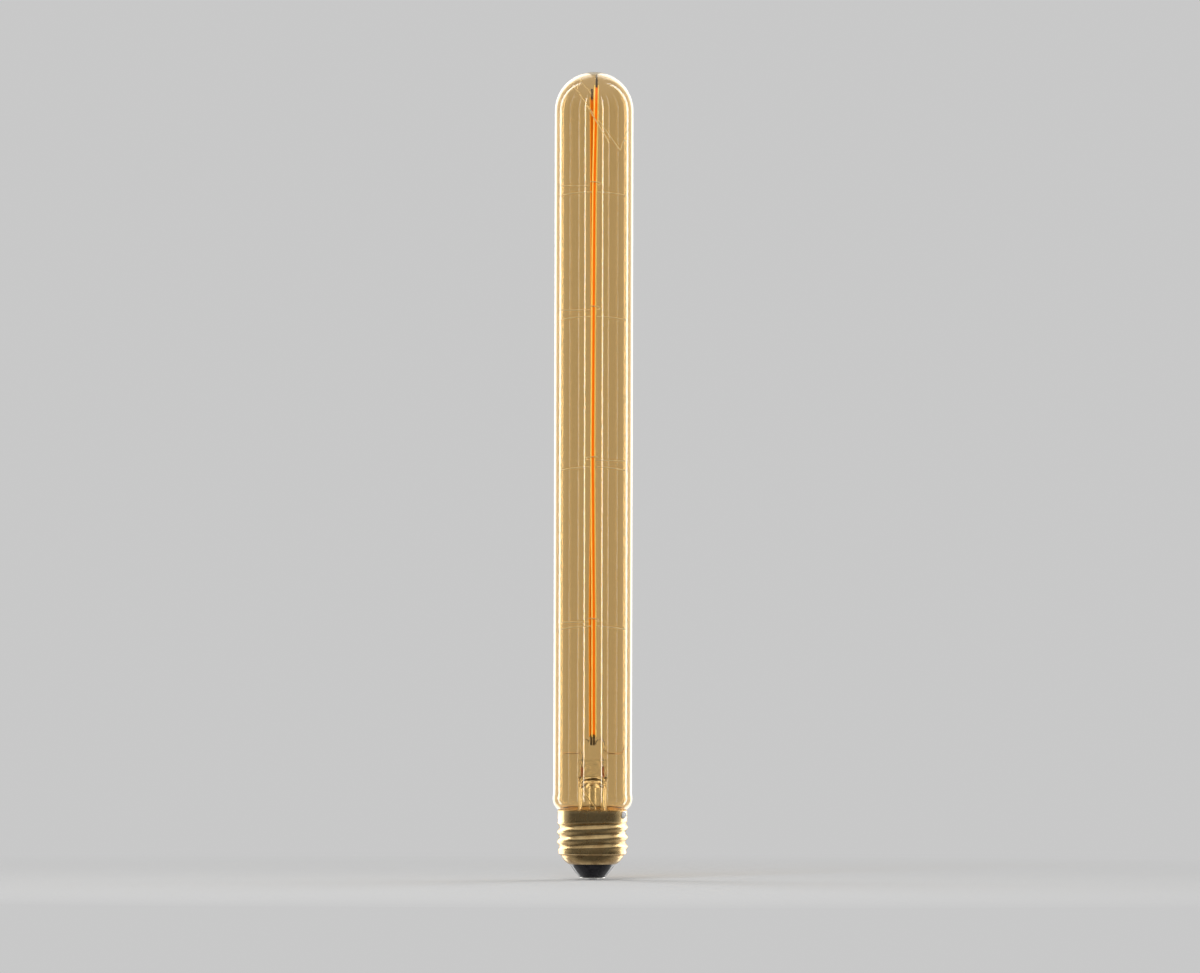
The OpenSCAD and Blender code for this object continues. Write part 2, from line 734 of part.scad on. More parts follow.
// Arched cross wire between the filaments, bearing on the wall at both ends
module support_brace(level) {
    steps = 14;
    end = on_wall(brace_turn, 0);
    color([0.74, 0.72, 0.70])
        wire([
            for (i = [0 : steps])
                let (t = 2 * i / steps - 1)
                    [end.x * t, end.y * pow(t, 3), support_z[level] - brace_drop[level] - brace_sag * t * t]
        ], spring_d);
}

module driver_board() {
    color([0.82, 0.80, 0.70])
        rotate([90, 0, 0])
            translate([0, 0, -board_t / 2])
                linear_extrude(height = board_t)
                    difference() {
                        translate([-board_w / 2, board_z])
                            square([board_w, board_h]);
                        for (x = [tail_left_x, tail_right_x])
                            translate([x, board_top_z - 1])
                                circle(d = 0.7);
                    }
}

// Block with gull-wing legs along both long sides, lying on the board's front
module legged_block(size, legs, leg_w) {
    pitch = size.x / legs;
    foot = 0.15;
    translate([-size.x / 2, -foot - size.y, -size.z / 2])
        cube(size);
    for (side = [-1, 1], i = [0 : legs - 1])
        translate([(i + 0.5) * pitch - size.x / 2 - leg_w / 2, 0, side * (size.z / 2 + 0.3) - 0.35]) {
            translate([0, -foot, 0])
                cube([leg_w, foot, 0.7]);
            translate([0, -foot - size.y / 2, side > 0 ? 0 : 0.45])
                cube([leg_w, foot + size.y / 2, 0.25]);
        }
}

module bridge_rectifier() {
    color([0.13, 0.13, 0.14])
        translate([-4.3, board_front - seal_fit, board_z + 6.6])
            legged_block([4.7, 2.3, 3.9], 2, 0.7);
}

module driver_chip() {
    color([0.13, 0.13, 0.14])
        translate([3.6, board_front - seal_fit, board_z + 6.6])
            legged_block([4.9, 1.5, 3.8], 4, 0.42);
}

module sense_resistors() {
    color([0.15, 0.16, 0.20])
        for (i = [0 : 2])
            translate([-1.9 * i - 2.4, board_front - 0.6 - seal_fit, board_z + 9.9])
                cube([1.5, 0.6, 1.1]);
}

// Can with a rolled groove near its foot, a sleeve's turned-in rim, and two pins bent to the board
module smoothing_capacitor() {
    r = can_d / 2;
    color([0.18, 0.20, 0.26])
        translate([-3.7, board_rear + part_gap + r, board_z + 0.8]) {
            rotate_extrude()
                polygon([
                    [0, 0.15], [r - 0.7, 0.15], [r - 0.45, 0], [r - 0.1, 0.15], [r, 0.4], [r, 1.1],
                    [r - 0.25, 1.4], [r - 0.25, 1.6], [r, 1.9], [r, can_h - 0.4],
                    [r - 0.15, can_h - 0.1], [r - 0.5, can_h], [r - 0.8, can_h - 0.15], [0, can_h - 0.15]]);
            for (side = [-1, 1])
                translate([side * 1.25 - 0.25, -r - part_gap + seal_fit, -0.35])
                    cube([0.5, r + part_gap, 0.6]);
        }
}

// Ferrite drum whose winding lies in a sleeve between its two flanges
module choke() {
    r = choke_d / 2;
    flange = 0.8;
    color([0.24, 0.23, 0.24])
        translate([3.9, board_rear + part_gap + r, board_z + 1.4]) {
            cylinder(r = r, h = flange);
            translate([0, 0, flange])
                cylinder(r = r - 0.4, h = choke_h - 2 * flange);
            translate([0, 0, choke_h - flange])
                cylinder(r = r, h = flange);
        }
}

// Axial film resistor with end caps, on two short legs
module fusible_resistor() {
    body = 4.6;
    r = 0.95;
    color([0.36, 0.52, 0.60])
        translate([fuse_x, board_front - 0.35 - r, fuse_z]) {
            rotate([0, 90, 0])
                rotate_extrude()
                    polygon([
                        [0, -body / 2 - 0.9], [0.25, -body / 2 - 0.9], [0.25, -body / 2],
                        [r - 0.15, -body / 2], [r, -body / 2 + 0.2], [r, -body / 2 + 1],
                        [r - 0.15, -body / 2 + 1.2], [r - 0.15, body / 2 - 1.2], [r, body / 2 - 1],
                        [r, body / 2 - 0.2], [r - 0.15, body / 2], [0.25, body / 2],
                        [0.25, body / 2 + 0.9], [0, body / 2 + 0.9]]);
            translate([body / 2 + 0.4, 0, -0.25])
                cube([0.5, r + 0.35 - seal_fit, 0.5]);
        }
}

// Left flexible lead, which crosses in front of the exhaust tube on its way down to the board
module tail_left() {
    clear = exhaust_d / 2 + tail_d / 2 + 0.6;
    color([0.78, 0.50, 0.34])
        wire(smooth([
            [-lead_x, 0, seal_low_z - seal_fit],
            [-lead_x, 0, pinch_z + 0.6],
            [-lead_x + 0.4, -0.3, pinch_z - 0.8],
            [-2.2, -clear, pinch_z - 2.8],
            [-0.5, -clear - 0.3, pinch_z - 5.4],
            [0.8, -clear - 0.3, flare_z - 1.6],
            [1.5, -clear + 0.2, board_top_z + 2.4],
            [tail_left_x, tail_end_y - 0.4, board_top_z + 0.4],
            [tail_left_x, tail_end_y, board_top_z - 1.4]
        ], 4), tail_d);
}

module tail_right() {
    color([0.78, 0.50, 0.34])
        wire(smooth([
            [lead_x, 0, seal_low_z - seal_fit],
            [lead_x, 0, pinch_z + 0.6],
            [lead_x - 0.1, -0.2, pinch_z - 2],
            [lead_x - 0.5, -0.6, pinch_z - 5],
            [lead_x - 0.5, -0.9, flare_z - 1],
            [lead_x + 0.5, -1.1, board_top_z + 3],
            [tail_right_x, tail_end_y - 0.2, board_top_z + 0.6],
            [tail_right_x, tail_end_y, board_top_z - 1.4]
        ], 4), tail_d);
}

// Wire from the tip contact's solder to the fusible resistor
module tip_wire() {
    fuse_end = fuse_x - 3.2 - tail_d / 2 - 0.05;
    fuse_y = board_front - 1.3;
    color([0.78, 0.50, 0.34])
        wire(smooth([
            [0, 0, 1.4 + seal_fit],
            [0, 0, 4],
            [0, -0.05, 5.8],
            [-0.2, -0.5, insulator_top_z - 0.6],
            [-0.9, -1.3, board_z + 0.4],
            [fuse_end + 0.1, fuse_y, board_z + 1.2],
            [fuse_end, fuse_y, fuse_z + 0.3]
        ], 4), tail_d);
}

// Wire from the board up between the glass neck and the skirt, and out through the rim's notch
module side_wire() {
    turn = side_solder_turn;
    color([0.78, 0.50, 0.34])
        wire(smooth([
            [board_w / 2 - 0.7, tail_end_y, board_top_z - 2.6],
            [board_w / 2 - 0.5, tail_end_y - 0.3, board_top_z - 1.2],
            around(neck_r - 2.4, turn + 6, neck_z - 2.4),
            around(neck_r - 0.9, turn, neck_z - 1.5),
            around(side_wire_r - 0.35, turn, neck_z - 0.55),
            around(side_wire_r, turn, neck_z + 0.5),
            around(side_wire_r, turn, side_wire_out_z - 1.2),
            around(side_wire_r + 0.1, turn, side_wire_out_z - 0.3),
            around(skirt_r - 0.1, turn, side_wire_out_z),
            around(skirt_r + 0.4, turn, side_wire_out_z)
        ], 4), tail_d);
}

glass_envelope();
glass_stem();
exhaust_tube();
seal_wire(-1);  // seal_wire_left
seal_wire(1);  // seal_wire_right
lead(-1, 1);  // lead_left
lead(1, 0);  // lead_right
foot_spring_left();
foot_spring_right();
filament_strip(0);  // front_filament_strip
filament_chips(0);  // front_filament_chips
filament_coat(0);  // front_filament_coat
filament_tabs(0);  // front_filament_tabs
filament_strip(1);  // rear_filament_strip
filament_chips(1);  // rear_filament_chips
filament_coat(1);  // rear_filament_coat
filament_tabs(1);  // rear_filament_tabs
top_spring();
top_link();
support_hook(0);  // support_hook_1
support_hook(1);  // support_hook_2
support_hook(2);  // support_hook_3
support_hook(3);  // support_hook_4
support_brace(0);  // support_brace_1
support_brace(1);  // support_brace_2
support_brace(2);  // support_brace_3
support_brace(3);  // support_brace_4
cap_shell();
cap_insulator();
tip_contact();
tip_solder();
side_solder();
basing_cement();
driver_board();
bridge_rectifier();
driver_chip();
sense_resistors();
smoothing_capacitor();
choke();
fusible_resistor();
tail_left();
tail_right();
tip_wire();
side_wire();
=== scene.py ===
import json
import math

import bpy
import numpy as np
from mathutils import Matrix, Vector

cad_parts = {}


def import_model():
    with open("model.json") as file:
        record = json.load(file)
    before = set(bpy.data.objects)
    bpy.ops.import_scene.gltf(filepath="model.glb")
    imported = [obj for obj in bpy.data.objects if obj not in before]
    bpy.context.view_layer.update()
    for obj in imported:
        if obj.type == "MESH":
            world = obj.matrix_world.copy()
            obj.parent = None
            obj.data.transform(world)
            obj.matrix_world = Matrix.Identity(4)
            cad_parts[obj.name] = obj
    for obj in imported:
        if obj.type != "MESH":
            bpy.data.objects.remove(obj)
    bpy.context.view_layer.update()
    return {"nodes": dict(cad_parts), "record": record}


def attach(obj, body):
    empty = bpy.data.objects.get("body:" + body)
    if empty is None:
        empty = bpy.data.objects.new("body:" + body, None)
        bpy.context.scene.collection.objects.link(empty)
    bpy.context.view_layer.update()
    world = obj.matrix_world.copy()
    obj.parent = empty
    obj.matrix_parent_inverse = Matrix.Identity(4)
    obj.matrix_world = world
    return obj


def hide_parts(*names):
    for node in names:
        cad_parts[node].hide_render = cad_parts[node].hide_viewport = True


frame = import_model()

# Sizes in millimetres, the same as the CAD's
MM = 0.001
LAMP_H, BULB_R, WALL = 300.0, 14.6, 0.9
BULB_IN_R = BULB_R - WALL
DOME_Z = LAMP_H - BULB_R
SKIRT_R, RIM_Z, RIM_SWELL, SHELL_T = 12.9, 25.6, 0.08, 0.3
CREST_R, THREAD_DEPTH, PITCH = 13.2, 0.95, 3.63
NECK_R, NECK_Z = 11.55, 21.4
SHOULDER_Z, SHOULDER_RISE, SWELL_R, MOUTH_R = 30.1, 4.5, 14.85, 12.45
SHOULDER_ARC = ((SWELL_R - MOUTH_R) ** 2 + SHOULDER_RISE ** 2) / (2 * (SWELL_R - MOUTH_R))
FILLET_ARC = 8.0
STEM_R, STEM_WALL = 5.1, 0.8
FLARE_END_R, FLARE_Z = 10.63, 27.73
PINCH_Z, PRESS_Z, PRESS_TOP = 34.0, 36.5, 44.7
PRESS_W, PRESS_T = 10.9, 3.2
EXHAUST_R, EXHAUST_BORE_R = 1.5, 0.9
LEAD_X, LEAD_R, TAIL_R, SPRING_R = 3.85, 0.3, 0.25, 0.175
SEAL_LOW, SEAL_HIGH = 38.0, 42.0
COAT_FOOT, COAT_TOP = 52.9, (295.0, 290.7)
COAT_W, COAT_T, COAT_Y = 1.8, 1.5, (-1.7, 1.7)
TAB_W, TAB_T, TAB_SEAT = 0.8, 0.25, 1.0
WALL_REACH, DOME_SEAT = BULB_IN_R - 0.425, 0.425
STRAND_Y = 2.875
WELD_GAP, SPRING_GAP = 0.05, 0.25
BOARD_Z, BOARD_TOP, BOARD_FRONT = 7.7, 19.5, -0.5
SOLDER_TURN = math.radians(-27)

# Heights of the hooks from the top down, and each filament's sideways place at its foot, at the hooks from the
# lowest up, and at its top
SUPPORT_Z = [COAT_FOOT + share * (COAT_TOP[0] - COAT_FOOT) for share in (0.848, 0.657, 0.426, 0.178)]
SWAY = ((0.45, 0.35, -0.2, 0.0, 0.2, 0.9), (-0.5, -0.75, -0.1, -0.3, -0.6, -0.8))
rng = np.random.default_rng(7)


# Meshes

def facing_out(points, quads):
    """True where a closed surface's faces point outwards. The sum of a . (b x c + c x d) over its faces is then
    positive, with the corners measured from its middle."""
    middle = points.mean(axis=0)
    a, b, c, d = (points[quads[:, k]] - middle for k in range(4))
    return np.einsum("ij,ij->i", a, np.cross(b, c) + np.cross(c, d)).sum() > 0


def build(name, points, quads, quad_uv, tris, tri_uv, sharp):
    """Mesh object from arrays of corners, with one UV map, smooth but for edges over an angle in degrees."""
    if not facing_out(points, quads):
        quads, quad_uv = quads[:, ::-1], quad_uv[:, ::-1]
        tris, tri_uv = tris[:, ::-1], tri_uv[:, ::-1]
    mesh = bpy.data.meshes.new(name)
    mesh.vertices.add(len(points))
    mesh.vertices.foreach_set("co", (points * MM).astype(np.float32).ravel())
    corners = np.concatenate([quads.ravel(), tris.ravel()]).astype(np.int32)
    starts = np.concatenate([np.arange(len(quads)) * 4, quads.size + np.arange(len(tris)) * 3])
    mesh.loops.add(len(corners))
    mesh.loops.foreach_set("vertex_index", corners)
    mesh.polygons.add(len(starts))
    mesh.polygons.foreach_set("loop_start", starts.astype(np.int32))
    mesh.polygons.foreach_set("use_smooth", np.ones(len(starts), bool))
    mesh.update(calc_edges=True)
    uv = np.concatenate([quad_uv.reshape(-1, 2), tri_uv.reshape(-1, 2)]).astype(np.float32)
    mesh.uv_layers.new(name="UVMap").data.foreach_set("uv", uv.ravel())
    mesh.set_sharp_from_angle(angle=math.radians(sharp))
    piece = bpy.data.objects.new(name, mesh)
    bpy.context.scene.collection.objects.link(piece)
    return piece


def skin(name, rows, loop=False, sharp=50):
    """Surface through closed rings of points, an array of rows x round x 3, each joined to the next. Where the
    profile is a loop the last joins the first; otherwise a point at its middle closes each end ring. U runs
    round the rings and V along the rows."""
    count, sides, _ = rows.shape
    index = np.arange(count * sides).reshape(count, sides)
    low = index if loop else index[:-1]
    high = np.roll(index, -1, axis=0) if loop else index[1:]
    quads = np.stack([low, np.roll(low, -1, axis=1), np.roll(high, -1, axis=1), high], -1).reshape(-1, 4)
    spans = len(low)
    u0 = np.tile(np.arange(sides) / sides, (spans, 1))
    v0 = np.repeat(np.arange(spans)[:, None] / spans, sides, axis=1)
    u1, v1 = u0 + 1 / sides, v0 + 1 / spans
    corner_uv = [np.stack(pair, -1) for pair in ((u0, v0), (u1, v0), (u1, v1), (u0, v1))]
    quad_uv = np.stack(corner_uv, axis=2).reshape(-1, 4, 2)
    points = rows.reshape(-1, 3)
    tris = np.zeros((0, 3), int)
    tri_uv = np.zeros((0, 3, 2))
    if not loop:
        first, last = index[0], index[-1]
        foot, top = len(points), len(points) + 1
        points = np.vstack([points, rows[0].mean(axis=0), rows[-1].mean(axis=0)])
        tris = np.vstack([
            np.stack([np.roll(first, -1), first, np.full(sides, foot)], -1),
            np.stack([last, np.roll(last, -1), np.full(sides, top)], -1)])
        u, w = np.arange(sides) / sides, (np.arange(sides) + 1) / sides
        ends = ([w, u, u], np.zeros((3, sides))), ([u, w, u], np.ones((3, sides)))
        tri_uv = np.vstack([np.stack(pair, -1).swapaxes(0, 1) for pair in ends])
    return build(name, points, quads, quad_uv, tris, tri_uv, sharp)


def turns(sides):
    """Equal steps of one full turn."""
    return np.arange(sides) / sides * 2 * np.pi


def round_axis(r, turn, z):
    """Points at a radius, a turn and a height: x = r cos turn, y = r sin turn."""
    return np.stack(np.broadcast_arrays(r * np.cos(turn), r * np.sin(turn), z), -1)


def turned(profile, sides):
    """A profile of radius and height turned about the axis."""
    r, z = np.asarray(profile, float).T[:, :, None]
    return round_axis(r, turns(sides), z)


def eased(t):
    """0 below 0, 1 above 1, and 3 t squared less 2 t cubed between."""
    t = np.clip(t, 0, 1)
    return t * t * (3 - 2 * t)


def arc(x, z, r, start, end, steps):
    """Points at a radius round a centre from one angle in degrees to another."""
    a = np.radians(np.linspace(start, end, steps + 1))
    return np.stack([x + r * np.cos(a), z + r * np.sin(a)], -1)


def finely(profile, step):
    """The same broken line with its long legs cut into equal steps no longer than a length."""
    profile = np.asarray(profile, float)
    pieces = [np.linspace(a, b, max(1, math.ceil(np.linalg.norm(b - a) / step)), endpoint=False)
              for a, b in zip(profile[:-1], profile[1:])]
    return np.vstack(pieces + [profile[-1:]])


def superellipse(half_w, half_t, power, a):
    """Points at angles on the outline where |x / w| to a power plus |y / t| to the power is 1."""
    c, s = np.cos(a), np.sin(a)
    return half_w * np.sign(c) * np.abs(c) ** (2 / power), half_t * np.sign(s) * np.abs(s) ** (2 / power)


def smooth_line(route, steps=8):
    """Curve through a route's points. Each span is the cubic that leaves and reaches its ends along the lines
    between their neighbours."""
    p = np.asarray(route, float)
    i = np.arange(len(p) - 1)
    a, b, c, d = (p[np.clip(i + k, 0, len(p) - 1)][:, None] for k in (-1, 0, 1, 2))
    t = (np.arange(steps) / steps)[None, :, None]
    curve = 0.5 * (2 * b + (c - a) * t + (2 * a - 5 * b + 4 * c - d) * t ** 2
                   + (3 * b - a - 3 * c + d) * t ** 3)
    return np.vstack([curve.reshape(-1, p.shape[1]), p[-1:]])


def frames(line):
    """Direction along a line at each point, and two directions across it that turn as little as they can."""
    ahead = np.gradient(line, axis=0)
    ahead /= np.linalg.norm(ahead, axis=1)[:, None]
    side = np.array([0.0, 0.0, 1.0]) if abs(ahead[0, 2]) < 0.8 else np.array([1.0, 0.0, 0.0])
    across = []
    for way in ahead:
        side = side - (side @ way) * way
        side = side / np.linalg.norm(side)
        across.append(side)
    across = np.array(across)
    return ahead, across, np.cross(ahead, across)


def wire(name, line, r):
    """Circle carried along a line: line + r (cos a across + sin a over). At each end three rings shrink to a
    blunt round nose half a radius long."""
    ahead, across, over = frames(line)
    nose = np.radians([72, 45, 18])
    line = np.vstack([line[0] - np.outer(np.sin(nose), ahead[0]) * r * 0.5, line,
                      line[-1] + np.outer(np.sin(nose[::-1]), ahead[-1]) * r * 0.5])
    size = r * np.concatenate([np.cos(nose), np.ones(len(ahead)), np.cos(nose[::-1])])
    across, over = (np.vstack([way[:1]] * 3 + [way] + [way[-1:]] * 3) for way in (across, over))
    a = turns(14)[None, :, None]
    rows = line[:, None] + size[:, None, None] * (np.cos(a) * across[:, None] + np.sin(a) * over[:, None])
    return skin(name, rows, sharp=80)


def bead(name, at, size, seed):
    """Lump of solder or weld: an ellipsoid whose radius swells and sinks by a few slow waves."""
    draw = np.random.default_rng(seed)
    p = np.linspace(0, np.pi, 17)[1:-1, None]
    a = turns(24)[None]
    swell = 1 + sum(0.05 * np.sin(k * a + draw.uniform(0, 6)) * np.sin(p * (k + 1)) for k in (1, 2, 3))
    rows = np.stack([size[0] * np.sin(p) * np.cos(a) * swell, size[1] * np.sin(p) * np.sin(a) * swell,
                     -size[2] * np.cos(p) * swell], -1)
    return skin(name, rows + np.asarray(at, float), sharp=180)


# Materials

def feed(tree, socket, value):
    """Links a node's output to a socket, or sets the socket to a plain value."""
    if isinstance(value, bpy.types.NodeSocket):
        tree.links.new(value, socket)
    else:
        socket.default_value = value


def dress(tree, node, **inputs):
    """Sets or links a node's inputs by name."""
    for key, value in inputs.items():
        feed(tree, node.inputs[key.replace("_", " ")], value)
    return node


def add(tree, kind, settings=(), **inputs):
    """Node of a kind, with its settings and inputs."""
    node = tree.nodes.new("ShaderNode" + kind)
    for key, value in dict(settings).items():
        setattr(node, key, value)
    return dress(tree, node, **inputs)


def sums(tree, operation, *values):
    """One step of arithmetic on values or sockets."""
    node = add(tree, "Math", {"operation": operation})
    for socket, value in zip(node.inputs, values):
        feed(tree, socket, value)
    return node.outputs[0]


def spread(tree, value, low, high, start=0.0, end=1.0):
    """Value that goes from low to high as another goes from start to end, and stays level outside."""
    node = add(tree, "MapRange", Value=value, From_Min=start, From_Max=end, To_Min=low, To_Max=high)
    return node.outputs["Result"]


def blend_colour(tree, share, first, second):
    """The first colour where the share is 0 and the second where it is 1."""
    node = add(tree, "Mix", {"data_type": "RGBA"})
    for socket, value in zip((node.inputs[0], node.inputs[6], node.inputs[7]), (share, first, second)):
        feed(tree, socket, value)
    return node.outputs[2]


def blend_shader(tree, share, first, second):
    """The first shader where the share is 0 and the second where it is 1."""
    node = add(tree, "MixShader")
    for socket, value in zip(node.inputs, (share, first, second)):
        feed(tree, socket, value)
    return node.outputs[0]


def rgba(*colour):
    """Opaque colour."""
    return (*colour, 1.0)


def place(tree, stretch=(1, 1, 1)):
    """Object coordinates in metres, stretched."""
    coords = add(tree, "TexCoord").outputs["Object"]
    return add(tree, "Mapping", Vector=coords, Scale=stretch).outputs["Vector"]


def far_from_middle(tree, way):
    """Length of a vector."""
    return add(tree, "VectorMath", {"operation": "LENGTH"}, Vector=way).outputs["Value"]


def new_group(name, inputs, outputs):
    """Empty shader group with its sockets, and its input and output nodes."""
    tree = bpy.data.node_groups.new(name, "ShaderNodeTree")
    for label, kind, value in inputs:
        socket = tree.interface.new_socket(name=label, in_out="INPUT", socket_type="NodeSocket" + kind)
        socket.default_value = value
    for label, kind in outputs:
        tree.interface.new_socket(name=label, in_out="OUTPUT", socket_type="NodeSocket" + kind)
    return tree, tree.nodes.new("NodeGroupInput").outputs, tree.nodes.new("NodeGroupOutput").inputs


def patches_group():
    """Two colours in soft patches, a mask of them and a fine grain: noise at a scale, its contrast raised, and
    a second noise twelve times finer."""
    tree, ins, outs = new_group(
        "patches",
        [("Colour", "Color", rgba(1, 1, 1)), ("Patch Colour", "Color", rgba(0, 0, 0)),
         ("Scale", "Float", 200.0), ("Amount", "Float", 0.5), ("Stretch", "Float", 1.0)],
        [("Colour", "Color"), ("Mask", "Float"), ("Grain", "Float")])
    apart = add(tree, "SeparateXYZ", Vector=add(tree, "TexCoord").outputs["Object"]).outputs
    high = sums(tree, "MULTIPLY", apart["Z"], ins["Stretch"])
    together = add(tree, "CombineXYZ", X=apart["X"], Y=apart["Y"], Z=high).outputs["Vector"]
    broad = add(tree, "TexNoise", Vector=together, Scale=ins["Scale"], Detail=4.0, Roughness=0.55)
    mask = spread(tree, broad.outputs["Fac"], 0.0, 1.0, 0.38, 0.66)
    share = sums(tree, "MULTIPLY", mask, ins["Amount"])
    finer = sums(tree, "MULTIPLY", ins["Scale"], 12.0)
    fine = add(tree, "TexNoise", Vector=together, Scale=finer, Detail=3.0, Roughness=0.6)
    feed(tree, outs["Colour"], blend_colour(tree, share, ins["Colour"], ins["Patch Colour"]))
    feed(tree, outs["Mask"], mask)
    feed(tree, outs["Grain"], fine.outputs["Fac"])
    return tree


def specks_group():
    """Mask of scattered round specks: 1 within a size of the middle of some cells, for cells at a scale."""
    tree, ins, outs = new_group(
        "specks", [("Scale", "Float", 900.0), ("Size", "Float", 0.18)], [("Mask", "Float")])
    cells = add(tree, "TexVoronoi", Vector=place(tree), Scale=ins["Scale"]).outputs
    near = sums(tree, "LESS_THAN", cells["Distance"], ins["Size"])
    few = sums(tree, "GREATER_THAN", add(tree, "SeparateXYZ", Vector=cells["Color"]).outputs["X"], 0.6)
    feed(tree, outs["Mask"], sums(tree, "MULTIPLY", near, few))
    return tree


def hollows_group():
    """Mask of the low parts of a turned surface: 1 at a low radius about the axis and 0 at a high one."""
    tree, ins, outs = new_group(
        "hollows", [("Low", "Float", 0.0122), ("High", "Float", 0.0132)], [("Mask", "Float")])
    apart = add(tree, "SeparateXYZ", Vector=place(tree)).outputs
    reach = far_from_middle(tree, add(tree, "CombineXYZ", X=apart["X"], Y=apart["Y"]).outputs["Vector"])
    feed(tree, outs["Mask"], spread(tree, reach, 1.0, 0.0, ins["Low"], ins["High"]))
    return tree


PATCHES, SPECKS, HOLLOWS = patches_group(), specks_group(), hollows_group()


def placed(tree, group, **values):
    """Outputs of a group placed in a material with its own values."""
    return add(tree, "Group", {"node_tree": group}, **values).outputs


def bump(tree, height, depth_mm):
    """Normal of a height field of a depth."""
    return add(tree, "Bump", Height=height, Strength=1.0, Distance=depth_mm * MM).outputs["Normal"]


def new_material(name):
    """Material with an empty tree, its Principled shader and its output."""
    material = bpy.data.materials.new(name)
    material.use_nodes = True
    tree = material.node_tree
    tree.nodes.clear()
    shader = add(tree, "BsdfPrincipled")
    out = add(tree, "OutputMaterial", Surface=shader.outputs[0])
    return material, tree, shader, out.inputs["Surface"]


def patchy(name, colour, patch, rough, metal=0.0, scale=300.0, amount=0.5, stretch=1.0, depth=0.01, gloss=0.5):
    """Soft patches of a second colour, a roughness that follows them, and a fine grain in the bump. Gives its
    parts, for a finish that adds to them."""
    material, tree, shader, _ = new_material(name)
    look = placed(tree, PATCHES, Colour=rgba(*colour), Patch_Colour=rgba(*patch), Scale=scale, Amount=amount,
                  Stretch=stretch)
    dress(tree, shader, Base_Color=look["Colour"], Roughness=spread(tree, look["Mask"], *rough), Metallic=metal,
          Specular_IOR_Level=gloss, Normal=bump(tree, look["Grain"], depth))
    return material, tree, shader, look


def glass(name, tint, ior, scale, stretch, depth):
    """Clear glass with faint drawn ripples. Shadow rays pass it with the tint of one face."""
    material, tree, shader, surface = new_material(name)
    ripple = add(tree, "TexNoise", Vector=place(tree, stretch), Scale=scale, Detail=2.0)
    dress(tree, shader, Base_Color=rgba(*tint), Roughness=0.0, IOR=ior, Transmission_Weight=1.0,
          Normal=bump(tree, ripple.outputs["Fac"], depth))
    clear = add(tree, "BsdfTransparent", Color=rgba(*(c ** 0.5 for c in tint)))
    shadow = add(tree, "LightPath").outputs["Is Shadow Ray"]
    feed(tree, surface, blend_shader(tree, shadow, shader.outputs[0], clear.outputs[0]))
    return material


def brass():
    """Pale drawn brass: brown tarnish and painted shade in the thread's hollows, soft patches, and fine marks
    round the cap.
    """
    material, tree, shader, look = patchy(
        "cap_brass", (0.88, 0.64, 0.31), (0.70, 0.44, 0.18), (0.20, 0.32), metal=1.0, scale=260, amount=0.55)
    # The thread's hollows turn brown, partly tarnish and partly painted shade that darkens the bands between
    # the crests.
    low = placed(tree, HOLLOWS, Low=0.01215, High=0.0129)["Mask"]
    share = sums(tree, "MULTIPLY", low, spread(tree, look["Mask"], 0.35, 0.8))
    marks = add(tree, "TexNoise", Vector=place(tree, (1, 1, 60)), Scale=90.0, Detail=3.0)
    dress(tree, shader, Base_Color=blend_colour(tree, share, look["Colour"], rgba(0.34, 0.21, 0.09)),
          Normal=bump(tree, marks.outputs["Fac"], 0.006))
    return material


def insulator_glass():
    """Black glass, faintly mottled, with pale specks painted in as glints."""
    material, tree, shader, look = patchy(
        "insulator_glass", (0.011, 0.010, 0.012), (0.030, 0.028, 0.033), (0.10, 0.22), scale=420, amount=0.7,
        depth=0.006)
    # The pale specks are painted highlights that stand for small glints.
    share = sums(tree, "MULTIPLY", placed(tree, SPECKS, Scale=2600.0, Size=0.12)["Mask"], 0.35)
    dress(tree, shader, Base_Color=blend_colour(tree, share, look["Colour"], rgba(0.45, 0.44, 0.47)))
    return material


def phosphor(name, core, edge):
    """Silicone coat loaded with phosphor: an orange core over the chips, paler yellow towards its sides as a
    painted highlight of the side light, with a faint painted glow. U runs round the coat, so the share follows
    |cos| of a turn of it."""
    material, tree, shader, look = patchy(name, core, core, (0.32, 0.5), scale=700, amount=0.0, gloss=0.4)
    uv = add(tree, "UVMap", {"uv_map": "UVMap"}).outputs["UV"]
    turn = sums(tree, "MULTIPLY", add(tree, "SeparateXYZ", Vector=uv).outputs["X"], 2 * math.pi)
    side = sums(tree, "ABSOLUTE", sums(tree, "COSINE", turn))
    # Paler towards the coat's sides: a painted highlight of the side light.
    uneven_painted_light_side = sums(tree, "ADD", side, spread(tree, look["Grain"], -0.08, 0.08))
    share = spread(tree, uneven_painted_light_side, 0.0, 1.0, 0.34, 0.62)
    colour = blend_colour(tree, share, rgba(*core), rgba(*edge))
    # The emission is a painted glow that lifts the coat's colour. The filament is not switched on.
    dress(tree, shader, Base_Color=colour, Emission_Color=colour, Emission_Strength=0.16,
          Subsurface_Weight=0.15, Subsurface_Radius=(0.6 * MM, 0.3 * MM, 0.1 * MM), Subsurface_Scale=1.0)
    return material


def board_resin():
    """Glass-cloth laminate: a fine square weave in a buff resin."""
    material, tree, shader, _ = patchy(
        "board_resin", (0.66, 0.60, 0.38), (0.52, 0.46, 0.27), (0.35, 0.5), scale=900)
    weave = add(tree, "TexChecker", Vector=place(tree), Scale=2600.0)
    dress(tree, shader, Normal=bump(tree, weave.outputs["Fac"], 0.01))
    return material


def resistor_body():
    """Blue-green lacquer with plain rings along the body, which lies along X."""
    material, tree, shader, look = patchy(
        "resistor_body", (0.16, 0.36, 0.42), (0.12, 0.28, 0.34), (0.22, 0.35), scale=600, amount=0.4)
    along = add(tree, "SeparateXYZ", Vector=place(tree)).outputs["X"]
    ring = sums(tree, "LESS_THAN", sums(tree, "PINGPONG", along, 0.0007), 0.00018)
    dress(tree, shader, Base_Color=blend_colour(tree, ring, look["Colour"], rgba(0.20, 0.09, 0.04)))
    return material


